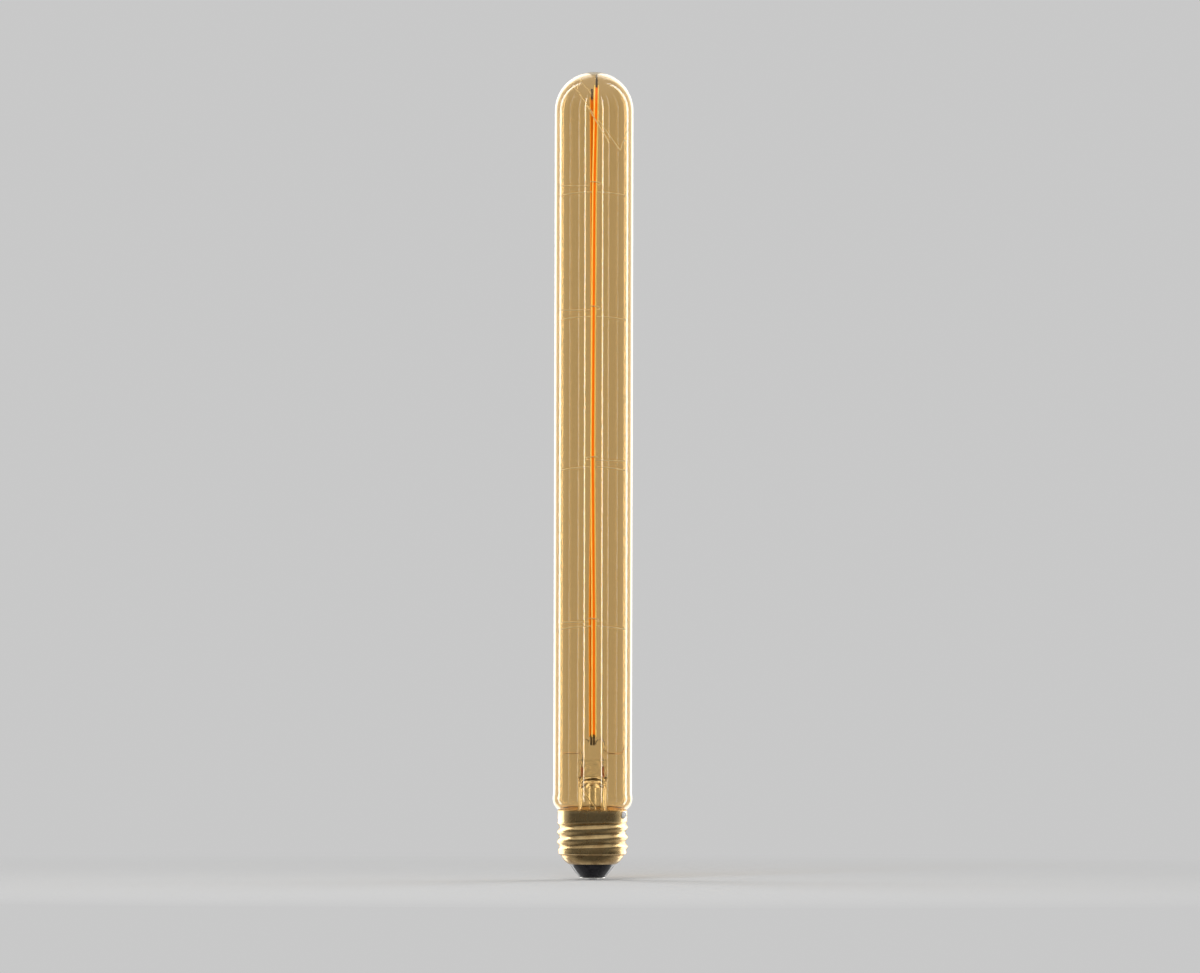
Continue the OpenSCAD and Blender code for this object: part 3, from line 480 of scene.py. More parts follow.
# Plain finishes: colour, patch colour, roughness outside and in the patches, and what differs from the usual
STEEL = dict(metal=1.0, scale=500, amount=0.6, stretch=0.2, depth=0.003)
TINNED = dict(STEEL, metal=0.4)
PLAIN = {
    "contact_metal": ((0.76, 0.74, 0.70), (0.60, 0.57, 0.52), (0.18, 0.34), STEEL),
    "solder": ((0.90, 0.90, 0.91), (0.66, 0.66, 0.68), (0.3, 0.5),
               dict(metal=0.55, scale=900, amount=0.7, depth=0.05)),
    "cement": ((0.88, 0.85, 0.79), (0.74, 0.70, 0.62), (0.85, 0.95), dict(scale=500, depth=0.05)),
    "seal_metal": ((0.62, 0.20, 0.10), (0.38, 0.10, 0.06), (0.28, 0.42), STEEL),
    "lead_metal": ((0.84, 0.83, 0.81), (0.64, 0.61, 0.56), (0.16, 0.3), STEEL),
    "foot_spring_metal": ((0.68, 0.46, 0.26), (0.46, 0.28, 0.15), (0.2, 0.36), STEEL),
    "spring_metal": ((0.93, 0.92, 0.90), (0.80, 0.78, 0.74), (0.15, 0.28), TINNED),
    "tab_metal": ((0.36, 0.34, 0.31), (0.22, 0.19, 0.16), (0.3, 0.45), STEEL),
    "carrier_ceramic": ((0.86, 0.84, 0.78), (0.76, 0.73, 0.66), (0.5, 0.7), {}),
    "chip_crystal": ((0.30, 0.48, 0.72), (0.20, 0.34, 0.55), (0.1, 0.2), dict(scale=900)),
    "copper_wire": ((0.76, 0.46, 0.30), (0.52, 0.28, 0.16), (0.22, 0.4), STEEL),
    "tinned_copper": ((0.90, 0.83, 0.70), (0.74, 0.62, 0.47), (0.25, 0.45), TINNED),
    "chip_package": ((0.018, 0.018, 0.020), (0.032, 0.032, 0.034), (0.45, 0.6), dict(scale=700)),
    "can_sleeve": ((0.020, 0.028, 0.070), (0.012, 0.016, 0.045), (0.18, 0.3), dict(scale=500)),
    "ferrite": ((0.060, 0.056, 0.056), (0.035, 0.032, 0.032), (0.6, 0.8), dict(scale=800, depth=0.03)),
}
MATERIALS = {name: patchy(name, *look, **differs)[0] for name, (*look, differs) in PLAIN.items()}
MATERIALS.update(
    amber_glass=glass("amber_glass", (0.92, 0.74, 0.46), 1.5, 60.0, (1, 1, 0.06), 0.02),
    stem_glass=glass("stem_glass", (0.97, 0.97, 0.95), 1.53, 260.0, (1, 1, 0.5), 0.03),
    insulator_glass=insulator_glass(),
    cap_brass=brass(),
    phosphor_front=phosphor("phosphor_front", (0.90, 0.22, 0.002), (1.0, 0.98, 0.42)),
    # The rear coat's darker colours are painted shade: it is the same coat as the front one, in that one's
    # shadow.
    phosphor_rear=phosphor("phosphor_rear", (0.50, 0.14, 0.003), (0.75, 0.38, 0.04)),
    board_resin=board_resin(),
    resistor_body=resistor_body(),
)


def keep(piece, slot, *nodes, material=None):
    """Gives a piece the material of its slot or the one named, hides the CAD nodes that it stands for, and
    hangs it from the root body.
    """
    piece.data.materials.append(MATERIALS[material or slot])
    if nodes:
        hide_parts(*nodes)
    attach(piece, "root")


# Bulb

def half_bulb(inset):
    """Outline of the bulb's right half from the neck up to the top, moved in by an inset: the neck, the
    shoulder's arc, the fillet into the tube, the tube, and the quarter circle of the dome."""
    centre = np.array([SWELL_R - SHOULDER_ARC, SHOULDER_Z])
    rise = math.sqrt((FILLET_ARC + SHOULDER_ARC) ** 2 - (BULB_R + FILLET_ARC - centre[0]) ** 2)
    fillet = np.array([BULB_R + FILLET_ARC, SHOULDER_Z + rise])
    turn = math.degrees(math.atan2(rise, fillet[0] - centre[0]))
    reach = (NECK_R - inset - centre[0]) / (SHOULDER_ARC - inset)
    shoulder = arc(*centre, SHOULDER_ARC - inset, -math.degrees(math.acos(reach)), turn, 20)
    neck = np.linspace((NECK_R - inset, NECK_Z), (NECK_R - inset, shoulder[0, 1]), 4, endpoint=False)
    mouth = arc(*fillet, FILLET_ARC + inset, 180 + turn, 180, 8)[1:]
    tube = np.linspace(mouth[-1], (BULB_R - inset, DOME_Z), 16)[1:]
    dome = arc(0, DOME_Z, BULB_R - inset, 0, 89.2, 32)[1:]
    return np.vstack([neck, shoulder, mouth, tube, dome])


def bulb():
    """The glass is one skin: down the outside from the top of the dome, round the neck's end, and up the
    inside. It is drawn in by a hair where it is widest, so that the swell stays in the CAD's box."""
    hair, widest_from, round_r, round_h = 0.03, 13.5, 0.2, 0.15
    outside, inside = half_bulb(0), half_bulb(WALL)
    outside[:, 0] -= hair * eased((outside[:, 0] - widest_from) / 0.8)
    outside[0, 1] += round_h
    inside[0, 1] += round_h
    lip = np.array([[NECK_R - round_r, NECK_Z], [NECK_R - WALL + round_r, NECK_Z]])
    keep(skin("bulb_glass", turned(np.vstack([outside[::-1], lip, inside]), 192), sharp=60),
         "amber_glass", "glass_envelope")


# Stem

CORNER_Z, CORNER_R = 43.8, 0.9
HOLE_Z, HOLE_W, HOLE_H, HOLE_DEPTH = 39.8, 0.95, 0.85, 1.3
BORE_TOP, BORE_END_W, BORE_END_T = 35.4, 3.2, 2.1


def flare(arc_r):
    """Quarter circle of the trumpet, from its wide lower end up to the tube."""
    a = np.radians(np.linspace(90, 0, 15))
    return np.stack([FLARE_END_R - arc_r * np.cos(a), FLARE_Z - arc_r * np.sin(a)], -1)


def stem_outside(a):
    """Superellipse rings: trumpet, tube, the pinch where the depth falls while the width grows, and the press
    with rounded top corners. Slow waves dent the press, and a hollow on its front, the root of 1 less the
    distance squared, is the exhaust hole."""
    trumpet = flare(FLARE_END_R - STEM_R)
    z = np.concatenate([trumpet[:, 1], np.linspace(FLARE_Z, PINCH_Z, 8)[1:],
                        np.linspace(PINCH_Z, CORNER_Z, 54)[1:],
                        CORNER_Z + CORNER_R * np.sin(np.radians([15, 30, 45, 60, 75, 90]))])
    shy = 1 - np.sqrt(1 - np.clip((z - CORNER_Z) / CORNER_R, 0, 1) ** 2)
    widened, pinched = eased((z - 35.3) / 1.8), eased((z - PINCH_Z) / 4.5)
    half_w = np.where(z < FLARE_Z, np.interp(z, trumpet[:, 1], trumpet[:, 0]),
                      STEM_R + (PRESS_W / 2 - STEM_R) * widened) - CORNER_R * shy
    half_t = np.where(z < FLARE_Z, half_w, STEM_R + (PRESS_T / 2 - STEM_R) * pinched) - 0.5 * shy
    power = 2 + 2.2 * eased((z - 35.0) / 3.5)
    x, y = superellipse(half_w[:, None], half_t[:, None], power[:, None], a)
    z = z[:, None] + 0 * x
    on_press = eased((z - PRESS_Z) / 1.5) * eased((44.4 - z) / 0.6)
    ripple = (0.07 * np.sin(1.35 * x + 0.7) * np.sin(1.25 * z)
              + 0.05 * np.sin(2.7 * x) * np.sin(2.2 * z + 1))
    y = y * (1 + on_press * ripple)
    hole = np.clip(1 - ((x / HOLE_W) ** 2 + ((z - HOLE_Z) / HOLE_H) ** 2), 0, 1) ** 0.5 * (y < 0)
    return np.stack([x, y + HOLE_DEPTH * hole * on_press, z], -1)


def stem_crown(top_ring):
    """Rings that shrink from the press's top outline to its middle, with low collars round the two leads."""
    crown = top_ring * np.linspace(1, 0, 9)[1:-1, None, None]
    crown[..., 2] = PRESS_TOP
    for side in (-1, 1):
        near = np.hypot(crown[..., 0] - side * LEAD_X, crown[..., 1])
        crown[..., 2] += 0.35 * np.exp(-(near / 0.55) ** 2)
    return crown


def stem_bore(a):
    """Inside of the trumpet and tube, which narrows to an oval under the press."""
    bell = flare(FLARE_END_R - STEM_R + STEM_WALL)
    bell = bell[(bell[:, 1] > NECK_Z + 0.1) & (bell[:, 0] < FLARE_END_R - 0.05)]
    r = STEM_R - STEM_WALL
    z = np.concatenate([bell[:, 1], np.linspace(FLARE_Z, PINCH_Z, 8)[1:],
                        np.linspace(PINCH_Z, BORE_TOP, 9)[1:]])
    half_t = np.concatenate([bell[:, 0], np.full(7, r), np.linspace(r, BORE_END_T, 9)[1:]])
    half_w = np.where(z > PINCH_Z, r - (r - BORE_END_W) * eased((z - PINCH_Z) / 1.4), half_t)
    return np.stack([half_w[:, None] * np.cos(a), half_t[:, None] * np.sin(a), z[:, None] + 0 * a], -1)


def stem():
    """One skin: the press's crown, down the outside, and up the bore."""
    a = turns(160)
    outside = stem_outside(a)
    rows = np.concatenate([stem_crown(outside[-1:])[::-1], outside[::-1], stem_bore(a)])
    keep(skin("stem_glass", rows, sharp=60), "stem_glass", "glass_stem")


def exhaust():
    """Tube with an open top under the press and a drawn, tipped-off lower end with a small nib."""
    top, tip, body = 35.38, 24.5, 30
    nib = np.array([[0.12, 0], [0.3, 0.12], [0.42, 0.4], [0.7, 0.7], [1.15, 1.15], [1.42, 1.75],
                    [EXHAUST_R, 2.4]]) + [0, tip]
    end = np.array([[0.1, 1.5], [0.5, 1.75], [0.82, 2.3], [EXHAUST_BORE_R, 3.0]]) + [0, tip]
    outer = np.vstack([nib, [[EXHAUST_R, body], [EXHAUST_R, top - 0.1], [1.42, top]]])
    bore = np.vstack([end, [[EXHAUST_BORE_R, body], [EXHAUST_BORE_R, top - 0.1], [0.98, top]]])
    profile = np.vstack([finely(outer, 0.6), finely(bore, 0.6)[::-1]])
    keep(skin("exhaust_tube_glass", turned(profile, 48), sharp=70), "stem_glass", "exhaust_tube")


# Cap

THREAD_START = 17.6
BEAD_TOP, WALL_R, BEAD_DIP = 9.55, 12.62, 1.05
RUN_IN_Z, RUN_OUT_Z, SWELL_Z = 9.9, 20.3, 24.8


def thread_radius(turn, z):
    """Outside of the shell at a turn about the axis and a height. The crests follow a right-hand helix, and the
    wave rises from the plain wall above the bead and runs out into the skirt."""
    start = THREAD_START + PITCH * (turn - np.pi) / (2 * np.pi)
    wave = 0.5 + 0.5 * np.cos(2 * np.pi * (z - start) / PITCH)
    full = CREST_R - THREAD_DEPTH * (1 - wave ** 0.85)
    low_wall = WALL_R - BEAD_DIP * eased((BEAD_TOP - z) / 0.75)
    r = low_wall + eased((z - RUN_IN_Z) / 2.6) * (full - low_wall)
    skirt = SKIRT_R + RIM_SWELL * eased((z - SWELL_Z) / 0.6)
    return r + eased((z - RUN_OUT_Z) / 1.5) * (skirt - r)


def shell():
    """The brass is one closed skin: the bowl and its bead, the threaded wall, the skirt and rim, then back down
    the inside at the brass's thickness."""
    sides = 200
    turn = turns(sides)
    low = np.array([[8.32, 5.6], [8.42, 5.58], [8.52, 5.59]])
    bowl = smooth_line([(8.62, 5.64), (9.3, 6.0), (9.95, 6.5), (10.5, 7.05), (11.0, 7.7), (11.36, 8.25),
                        (11.5, 8.65)], 3)
    foot = np.vstack([low, bowl[:-1], arc(11.47, 8.76, 0.13, -60, 70, 5)])
    z = np.concatenate([np.arange(8.98, 21.9, 0.115), np.linspace(21.9, 24.7, 6),
                        [24.9, 25.1, 25.3, 25.5]])[:, None]
    rim_r = SKIRT_R + RIM_SWELL
    rim = np.array([[rim_r - 0.03, 25.57], [rim_r - 0.1, RIM_Z], [rim_r - 0.24, RIM_Z],
                    [rim_r - SHELL_T - 0.02, 25.55]])
    down = z[::-2]
    back = np.vstack([(bowl + [-0.28, 0.12])[::-1][1:-1], [[8.4, 5.9], [8.32, 5.88]]])
    rows = np.concatenate([turned(foot, sides), round_axis(thread_radius(turn, z), turn, z), turned(rim, sides),
                           round_axis(thread_radius(turn, down) - SHELL_T, turn, down), turned(back, sides)])
    keep(skin("screw_shell", rows, loop=True, sharp=40), "cap_brass", "cap_shell")


def insulator():
    """Pressed glass turned about the shank's bore: a cone that swells a little, with rounded edges."""
    t = np.linspace(0, 1, 14)
    low, high = np.array([5.0, 1.15]), np.array([8.25, 5.35])
    cone = low + (high - low) * t[:, None]
    cone[:, 0] += 0.12 * np.sin(np.pi * t)
    profile = np.vstack([[[1.22, 0.87], [4.3, 0.86], [4.62, 0.9], [4.85, 1.0]], cone,
                         [[8.28, 5.5], [8.26, 6.05], [8.7, 6.35], [9.05, 6.75], [9.2, 7.2], [9.0, 7.38],
                          [4.3, 7.0], [1.3, 6.98], [1.22, 6.9], [1.22, 0.87]]])
    keep(skin("insulator_cone", turned(finely(profile, 0.7)[:-1], 128), loop=True, sharp=40),
         "insulator_glass", "cap_insulator")


def contact():
    """Pressed disc with a rolled edge, and the shank that holds it."""
    profile = [[0.88, 0.3], [1.8, 0.3], [3.2, 0.36], [4.1, 0.43], [4.45, 0.49], [4.64, 0.58], [4.7, 0.68],
               [4.68, 0.78], [4.6, 0.83], [1.18, 0.83], [1.18, 3.2], [0.88, 3.23], [0.88, 0.3]]
    keep(skin("tip_disc", turned(finely(profile, 0.5)[:-1], 96), loop=True, sharp=40),
         "contact_metal", "tip_contact")


def tip_drop():
    """Drop of solder under the disc, which runs up into the shank. Two waves make its edge uneven."""
    profile = np.array([[0.4, 0.0], [0.9, 0.0], [1.25, 0.012], [1.42, 0.05], [1.6, 0.13], [1.74, 0.21],
                        [1.8, 0.27], [1.2, 0.275], [0.86, 0.28], [0.86, 1.2], [0.7, 2.1], [0.3, 2.2]])
    a = turns(64)
    wobble = 1 + 0.045 * np.sin(2 * a + 1) + 0.03 * np.sin(5 * a)
    rows = turned(profile, 64)
    rows[..., :2] *= np.where(profile[:, 0:1] > 1.0, wobble, 1.0)[..., None]
    keep(skin("tip_drop", rows, sharp=50), "solder", "tip_solder")


def side_drop():
    """Uneven heap of solder on the rim. Its height is the root of 1 less the square of the distance from its
    middle, with slow waves; its base follows the skirt."""
    rings = np.linspace(0.06, 1, 16)
    share = np.concatenate([rings, np.linspace(0.9, 0.08, 5)])[:, None]
    a = turns(56)
    edge = 1 + 0.12 * np.sin(2 * a + 0.6) + 0.10 * np.sin(3 * a + 2) + 0.05 * np.sin(7 * a)
    along = 1.32 * share * np.cos(a) * edge
    high = 24.05 + 1.55 * share * np.sin(a) * np.minimum(edge, 1.0)
    waves = (0.80 + 0.18 * np.sin(3.1 * along + 1) * np.sin(2.6 * high)
             + 0.13 * np.sin(6.3 * along) * np.sin(5.2 * high + 1) + 0.05 * np.sin(11 * along + 9 * high))
    heap = np.sqrt(np.clip(1 - share ** 2, 0, 1)) * waves
    top = np.arange(len(share))[:, None] < len(rings)
    out = SKIRT_R + RIM_SWELL + 0.01 + np.where(top, np.maximum(heap, 0), 0)
    rows = round_axis(out, SOLDER_TURN + along / SKIRT_R, np.minimum(high, RIM_Z))
    keep(skin("rim_solder", rows, sharp=60), "solder", "side_solder")


# Filaments

def filament_x(f, z):
    """Sideways place of a filament at heights, level past its ends: straight between its knots, with each
    corner eased by a moving mean."""
    z = np.clip(z, COAT_FOOT, COAT_TOP[f])
    knots = [COAT_FOOT, *SUPPORT_Z[::-1], COAT_TOP[f]]
    ease = 9
    near = np.interp(z[..., None] + np.linspace(-ease, ease, 13), knots, SWAY[f])
    share = eased(np.minimum(z - COAT_FOOT, COAT_TOP[f] - z) / ease)
    return near.mean(axis=-1) * share + np.interp(z, knots, SWAY[f]) * (1 - share)


def carried(name, f, x, y, z, sharp):
    """Surface through outlines carried up a filament's middle line."""
    return skin(name, np.stack([x + filament_x(f, z)[:, None], y + COAT_Y[f], z[:, None] + 0 * x], -1),
                sharp=sharp)


def coat(f, name):
    """Oval outline carried up the filament, uneven by a few hundredths. At both ends the middle is left open
    over the tab, so that two prongs stand beside it."""
    foot, top = COAT_FOOT, COAT_TOP[f]
    ends = np.array([0, 0.04, 0.12, 0.3, 0.6, 0.85, 0.95, 1.05, 1.3])
    z = np.concatenate([foot + ends, np.arange(foot + 2.2, top - 2.2, 0.9), (top - ends)[::-1]])
    from_end = np.minimum(z - foot, top - z)
    size = 1 - 0.14 * np.clip(1 - from_end / 0.3, 0, 1) ** 2
    phase = rng.uniform(0, 6, 4)
    size = size * (1 + 0.012 * np.sin(z * 0.9 + phase[0]) + 0.010 * np.sin(z * 2.1 + phase[1])
                   + 0.008 * np.sin(z * 0.23 + phase[2]))
    x, y = (way * size[:, None] for way in superellipse(COAT_W / 2, COAT_T / 2, 2.3, turns(56)))
    open_end = (from_end < 0.9)[:, None] & (np.abs(x) < 0.45)
    y = np.where(open_end, np.clip(y, -0.06, 0.06), y)
    return carried(name, f, x, y, z, 60)


def tab(f, name, low, high):
    """Flat strip of metal with rounded edges and a blunt end."""
    z = np.concatenate([[low, low + 0.06], np.linspace(low + 0.2, high - 0.2, 6), [high - 0.06, high]])
    size = 1 - 0.25 * (np.minimum(z - low, high - z) < 0.03)
    x, y = (way * size[:, None] for way in superellipse(TAB_W / 2, TAB_T / 2, 7, turns(32)))
    return carried(name, f, x, y, z, 50)


def under_dome(x, y):
    """Height at which a wire's middle touches the dome from inside."""
    return DOME_Z + math.sqrt(BULB_IN_R ** 2 - x * x - y * y) - DOME_SEAT


def joined(name, pieces):
    """One object from several meshes."""
    with bpy.context.temp_override(active_object=pieces[0], selected_editable_objects=pieces):
        bpy.ops.object.join()
    pieces[0].name = pieces[0].data.name = name
    return pieces[0]


def filaments():
    """Coat and tabs of both filaments. The front one's top tab reaches the dome."""
    for f, side in ((0, "front"), (1, "rear")):
        keep(coat(f, f"{side}_coat"), "phosphor", f"{side}_filament_coat", material=f"phosphor_{side}")
        top = COAT_TOP[f]
        end = under_dome(SWAY[f][-1], COAT_Y[f]) + SPRING_R if f == 0 else top + 3
        both = [tab(f, "foot", COAT_FOOT - 3.1, COAT_FOOT + TAB_SEAT), tab(f, "top", top - TAB_SEAT, end)]
        keep(joined(f"{side}_tabs", both), "tab_metal", f"{side}_filament_tabs")


# Wires

def around(r, turn, z):
    """Point at a radius, a turn in degrees and a height."""
    return np.array([r * math.cos(math.radians(turn)), r * math.sin(math.radians(turn)), z])


def on_wall(turn, z):
    """Point where a spring wire touches the tube's wall."""
    return around(WALL_REACH, turn, z)


def lead(side, f):
    """Lead wire from the press up, out round a bow and down to the filament's foot tab."""
    tab_x, tab_y = SWAY[f][0], COAT_Y[f]
    end_x = tab_x + side * (TAB_W / 2 + LEAD_R + WELD_GAP)
    out, z = side * LEAD_X, PRESS_TOP
    return [(out, 0, SEAL_HIGH + 0.02), (out, 0, z + 0.5), (out + side * 0.2, tab_y * 0.05, z + 3),
            (out + side * 0.5, tab_y * 0.2, z + 5.3), (out + side * 0.25, tab_y * 0.4, z + 6.8),
            (out - side * 0.8, tab_y * 0.7, z + 7.4), (end_x + side * 0.9, tab_y, z + 7.3),
            (end_x + side * 0.2, tab_y, z + 6.7), (end_x, tab_y, z + 5.6)]


def foot_springs():
    """Routes from beside the leads out to the wall; the right one turns up at its end."""
    z = PRESS_TOP + 2.1
    gap = LEAD_X + LEAD_R + SPRING_R + SPRING_GAP
    left = [(-gap, 0.1, z + 0.1), (-LEAD_X - 2.4, 0.5, z), (-LEAD_X - 4.4, 1.8, z + 0.05),
            on_wall(158, z) + [1.6, -0.9, 0], on_wall(150, z + 0.2)]
    right = [(gap, -0.2, z + 1.2), (LEAD_X + 1.2, -0.4, z + 0.7), (LEAD_X + 2.6, 0.2, z),
             (LEAD_X + 4.8, 1.6, z - 0.1), on_wall(24, z) + [-1.5, -0.5, 0],
             on_wall(25, z + 1.1) + [-0.4, -0.1, 0], on_wall(26, z + 2.9)]
    return left, right


def top_spring():
    """Route from the right wall up in front of the filaments, over a bow at the dome, down between them, and
    over a small rise to the wall again."""
    wall_end = on_wall(-66, 273.4)
    front_start, front_end = np.array([-5.8, -1.8, 292.6]), wall_end + [-0.9, 1.9, 1.9]
    between_start, between_end = np.array([-7.6, 0.3, 294.6]), np.array([9.4, -0.35, 271.3])
    return [wall_end, *np.linspace(front_end, front_start, 6, endpoint=False), front_start, (-6.2, -1.7, 294),
            (-5.2, -1.2, 295.9), (-5.5, -0.3, under_dome(-5.5, -0.3)), (-6.9, 0.2, under_dome(-6.9, 0.2)),
            (-7.8, 0.35, 295.7), *np.linspace(between_start, between_end, 7, endpoint=False), between_end,
            (9.9, -0.4, 271.2), (10.5, -0.7, 273.2), (11.3, -1.3, 274.5), on_wall(-13, 274.2) + [-0.5, 0, 0],
            on_wall(-14, 272.9)]


def top_link():
    """Route from the front filament's top tab round under the dome and down to the rear one's."""
    front, rear = SWAY[0][-1], SWAY[1][-1]
    front_y, rear_y = COAT_Y
    off = TAB_W / 2 + SPRING_R + WELD_GAP
    z = under_dome(front, front_y)
    return [(front - off, front_y, z - 1), (front - off - 0.4, front_y + 0.1, z - 0.55),
            (-1.6, front_y + 0.3, z - 0.5), (-3.2, -1.2, under_dome(-3.2, -1.2) - 0.1),
            (-4.3, -0.9, under_dome(-4.3, -0.9)), (-4.9, 0.3, under_dome(-4.9, 0.3) - 0.7),
            (-4.4, 1.2, z - 2.9), (-3, 1.6, z - 4.4), (rear - off - 0.5, rear_y, COAT_TOP[1] + 2.4),
            (rear - off, rear_y, COAT_TOP[1] + 1.4)]


def support(level):
    """Routes of a level's hook round both filaments and of its arched cross brace."""
    z, side = SUPPORT_Z[level], (1, 1, -1, 1)[level]
    bend = COAT_W / 2 + (1.55, 1.55, 1.9, 1.2)[level]
    arm, y = on_wall(173, 0), STRAND_Y
    hook = np.array([
        [arm[0], arm[1], -0.6], [arm[0] * 0.72, y * 0.75, -0.5], [arm[0] * 0.45, y * 0.92, -0.45],
        [-3, y, -0.4], [-0.3, y, -0.3], [bend * 0.62, y * 0.84, -0.15], [bend, y * 0.32, 0.1],
        [bend, -y * 0.32, 0.45], [bend * 0.62, -y * 0.84, 0.8], [-0.3, -y, 1],
        [-1.4, -y, 1]]) * [side, 1, 1] + [0, 0, z]
    end = on_wall(7, 0)
    t = np.linspace(-1, 1, 49)
    drop = (2.8, 2.8, 2.8, 1.9)[level]
    return hook, np.stack([end[0] * t, end[1] * t ** 3, z - drop - 1.5 * t * t], -1)


def tails():
    """Routes of the flexible leads from the seals down to the board. The left one crosses the exhaust tube."""
    clear = EXHAUST_R + TAIL_R + 0.6
    end_y = BOARD_FRONT - TAIL_R - WELD_GAP
    left = [(-LEAD_X, 0, SEAL_LOW - 0.02), (-LEAD_X, 0, PINCH_Z + 0.6), (-LEAD_X + 0.4, -0.3, PINCH_Z - 0.8),
            (-2.2, -clear, PINCH_Z - 2.8), (-0.5, -clear - 0.3, PINCH_Z - 5.4),
            (0.8, -clear - 0.3, FLARE_Z - 1.6), (1.5, -clear + 0.2, BOARD_TOP + 2.4),
            (1.6, end_y - 0.4, BOARD_TOP + 0.4), (1.6, end_y, BOARD_TOP - 1.4)]
    right = [(LEAD_X, 0, SEAL_LOW - 0.02), (LEAD_X, 0, PINCH_Z + 0.6), (LEAD_X - 0.1, -0.2, PINCH_Z - 2),
             (LEAD_X - 0.5, -0.6, PINCH_Z - 5), (LEAD_X - 0.5, -0.9, FLARE_Z - 1),
             (LEAD_X + 0.5, -1.1, BOARD_TOP + 3), (6, end_y - 0.2, BOARD_TOP + 0.6),
             (6, end_y, BOARD_TOP - 1.4)]
    return left, right


def cap_wires():
    """Routes from the tip's solder to the fusible resistor, and from the board to the rim's solder."""
    fuse_end, fuse_y = 1.6 - 3.2 - TAIL_R - WELD_GAP, BOARD_FRONT - 1.3
    tip = [(0, 0, 1.42), (0, 0, 4), (0, -0.05, 5.8), (-0.2, -0.5, 6.8), (-0.9, -1.3, BOARD_Z + 0.4),
           (fuse_end + 0.1, fuse_y, BOARD_Z + 1.2), (fuse_end, fuse_y, BOARD_Z + 2.6)]
    end_y = BOARD_FRONT - TAIL_R - WELD_GAP
    r, turn, out_z = NECK_R + 0.525, -27, RIM_Z - 0.95
    side = [(7.3, end_y, BOARD_TOP - 2.6), (7.5, end_y - 0.3, BOARD_TOP - 1.2)]
    side += [around(reach, at, z) for reach, at, z in (
        (NECK_R - 2.4, turn + 6, NECK_Z - 2.4), (NECK_R - 0.9, turn, NECK_Z - 1.5),
        (r - 0.35, turn, NECK_Z - 0.55), (r, turn, NECK_Z + 0.5), (r, turn, out_z - 1.2),
        (r + 0.1, turn, out_z - 0.3), (SKIRT_R - 0.1, turn, out_z), (SKIRT_R + 0.4, turn, out_z))]
    return tip, side


def wires():
    """Every drawn wire. The flexible leads in the stem look tinned."""
    spring_left, spring_right = foot_springs()
    tail_left, tail_right = tails()
    tip, side = cap_wires()
    runs = [("lead_left", lead(-1, 1), LEAD_R, "lead_metal"),
            ("lead_right", lead(1, 0), LEAD_R, "lead_metal"),
            ("foot_spring_left", spring_left, SPRING_R, "foot_spring_metal"),
            ("foot_spring_right", spring_right, SPRING_R, "foot_spring_metal"),
            ("top_spring", top_spring(), SPRING_R, "spring_metal"),
            ("top_link", top_link(), SPRING_R, "spring_metal"),
            ("tail_left", tail_left, TAIL_R, "copper_wire"), ("tail_right", tail_right, TAIL_R, "copper_wire"),
            ("tip_wire", tip, TAIL_R, "copper_wire"), ("side_wire", side, TAIL_R, "copper_wire")]
    for node, route, r, slot in runs:
        keep(wire(f"{node}_drawn", smooth_line(route), r), slot, node,
             material="tinned_copper" if node.startswith("tail") else slot)
    for level in range(4):
        hook, brace = support(level)
        for node, line in ((f"support_hook_{level + 1}", smooth_line(hook)),
                           (f"support_brace_{level + 1}", brace)):
            keep(wire(f"{node}_drawn", line, SPRING_R), "spring_metal", node)


def welds():
    """Weld beads where the leads and the link meet the filaments' tabs, and knots at the seal wires' ends."""
    off = TAB_W / 2 + 0.12
    foot, top = ((0.34, 0.36, 0.5), "lead_metal"), ((0.22, 0.24, 0.34), "spring_metal")
    spots = [("weld_front_foot", (SWAY[0][0] + off, COAT_Y[0] - 0.05, PRESS_TOP + 6.1), *foot),
             ("weld_rear_foot", (SWAY[1][0] - off, COAT_Y[1] - 0.05, PRESS_TOP + 6.1), *foot),
             ("weld_front_top", (SWAY[0][-1] - off + 0.05, COAT_Y[0], 297.45), *top),
             ("weld_rear_top", (SWAY[1][-1] - off + 0.05, COAT_Y[1], COAT_TOP[1] + 1.7), *top)]
    for side, word in ((-1, "left"), (1, "right")):
        spots.append((f"seal_knot_{word}", (side * LEAD_X, 0, SEAL_HIGH), (0.42, 0.42, 0.4), "lead_metal"))
        spots.append((f"tail_knot_{word}", (side * LEAD_X, 0, SEAL_LOW), (0.4, 0.4, 0.4), "seal_metal"))
    for i, (name, at, size, slot) in enumerate(spots):
        keep(bead(name, at, size, i), slot)


def cad_finishes():
    """Materials for the CAD pieces that keep their own meshes."""
    slots = {s["node"]: s["material_slot"] for s in frame["record"]["subparts"]}
    for node in ("seal_wire_left", "seal_wire_right", "front_filament_strip", "rear_filament_strip",
                 "front_filament_chips", "rear_filament_chips", "basing_cement", "driver_board",
                 "bridge_rectifier", "driver_chip", "sense_resistors", "smoothing_capacitor", "choke",
                 "fusible_resistor"):
        for slot in frame["nodes"][node].material_slots:
            slot.material = MATERIALS[slots[node]]


# Stage

PALE = 0.58

# Strips of light at each side: middle and half width in degrees from the camera's side, level, and upper end.
# Satin metal sees the wide one. Clear glass sees the others: its streaks, then the white lines down its sides
WIDE_STRIP = (136, 22, 3.2, 0.82)
GLASS_STRIPS = ((26.6, 1.4, 9.0, 0.6), (45.3, 1.1, 3.0, 0.6), (75.9, 1.0, 2.6, 0.6), (118, 4, 8.0, 0.82),
                (162, 14, 1.8, 0.82))


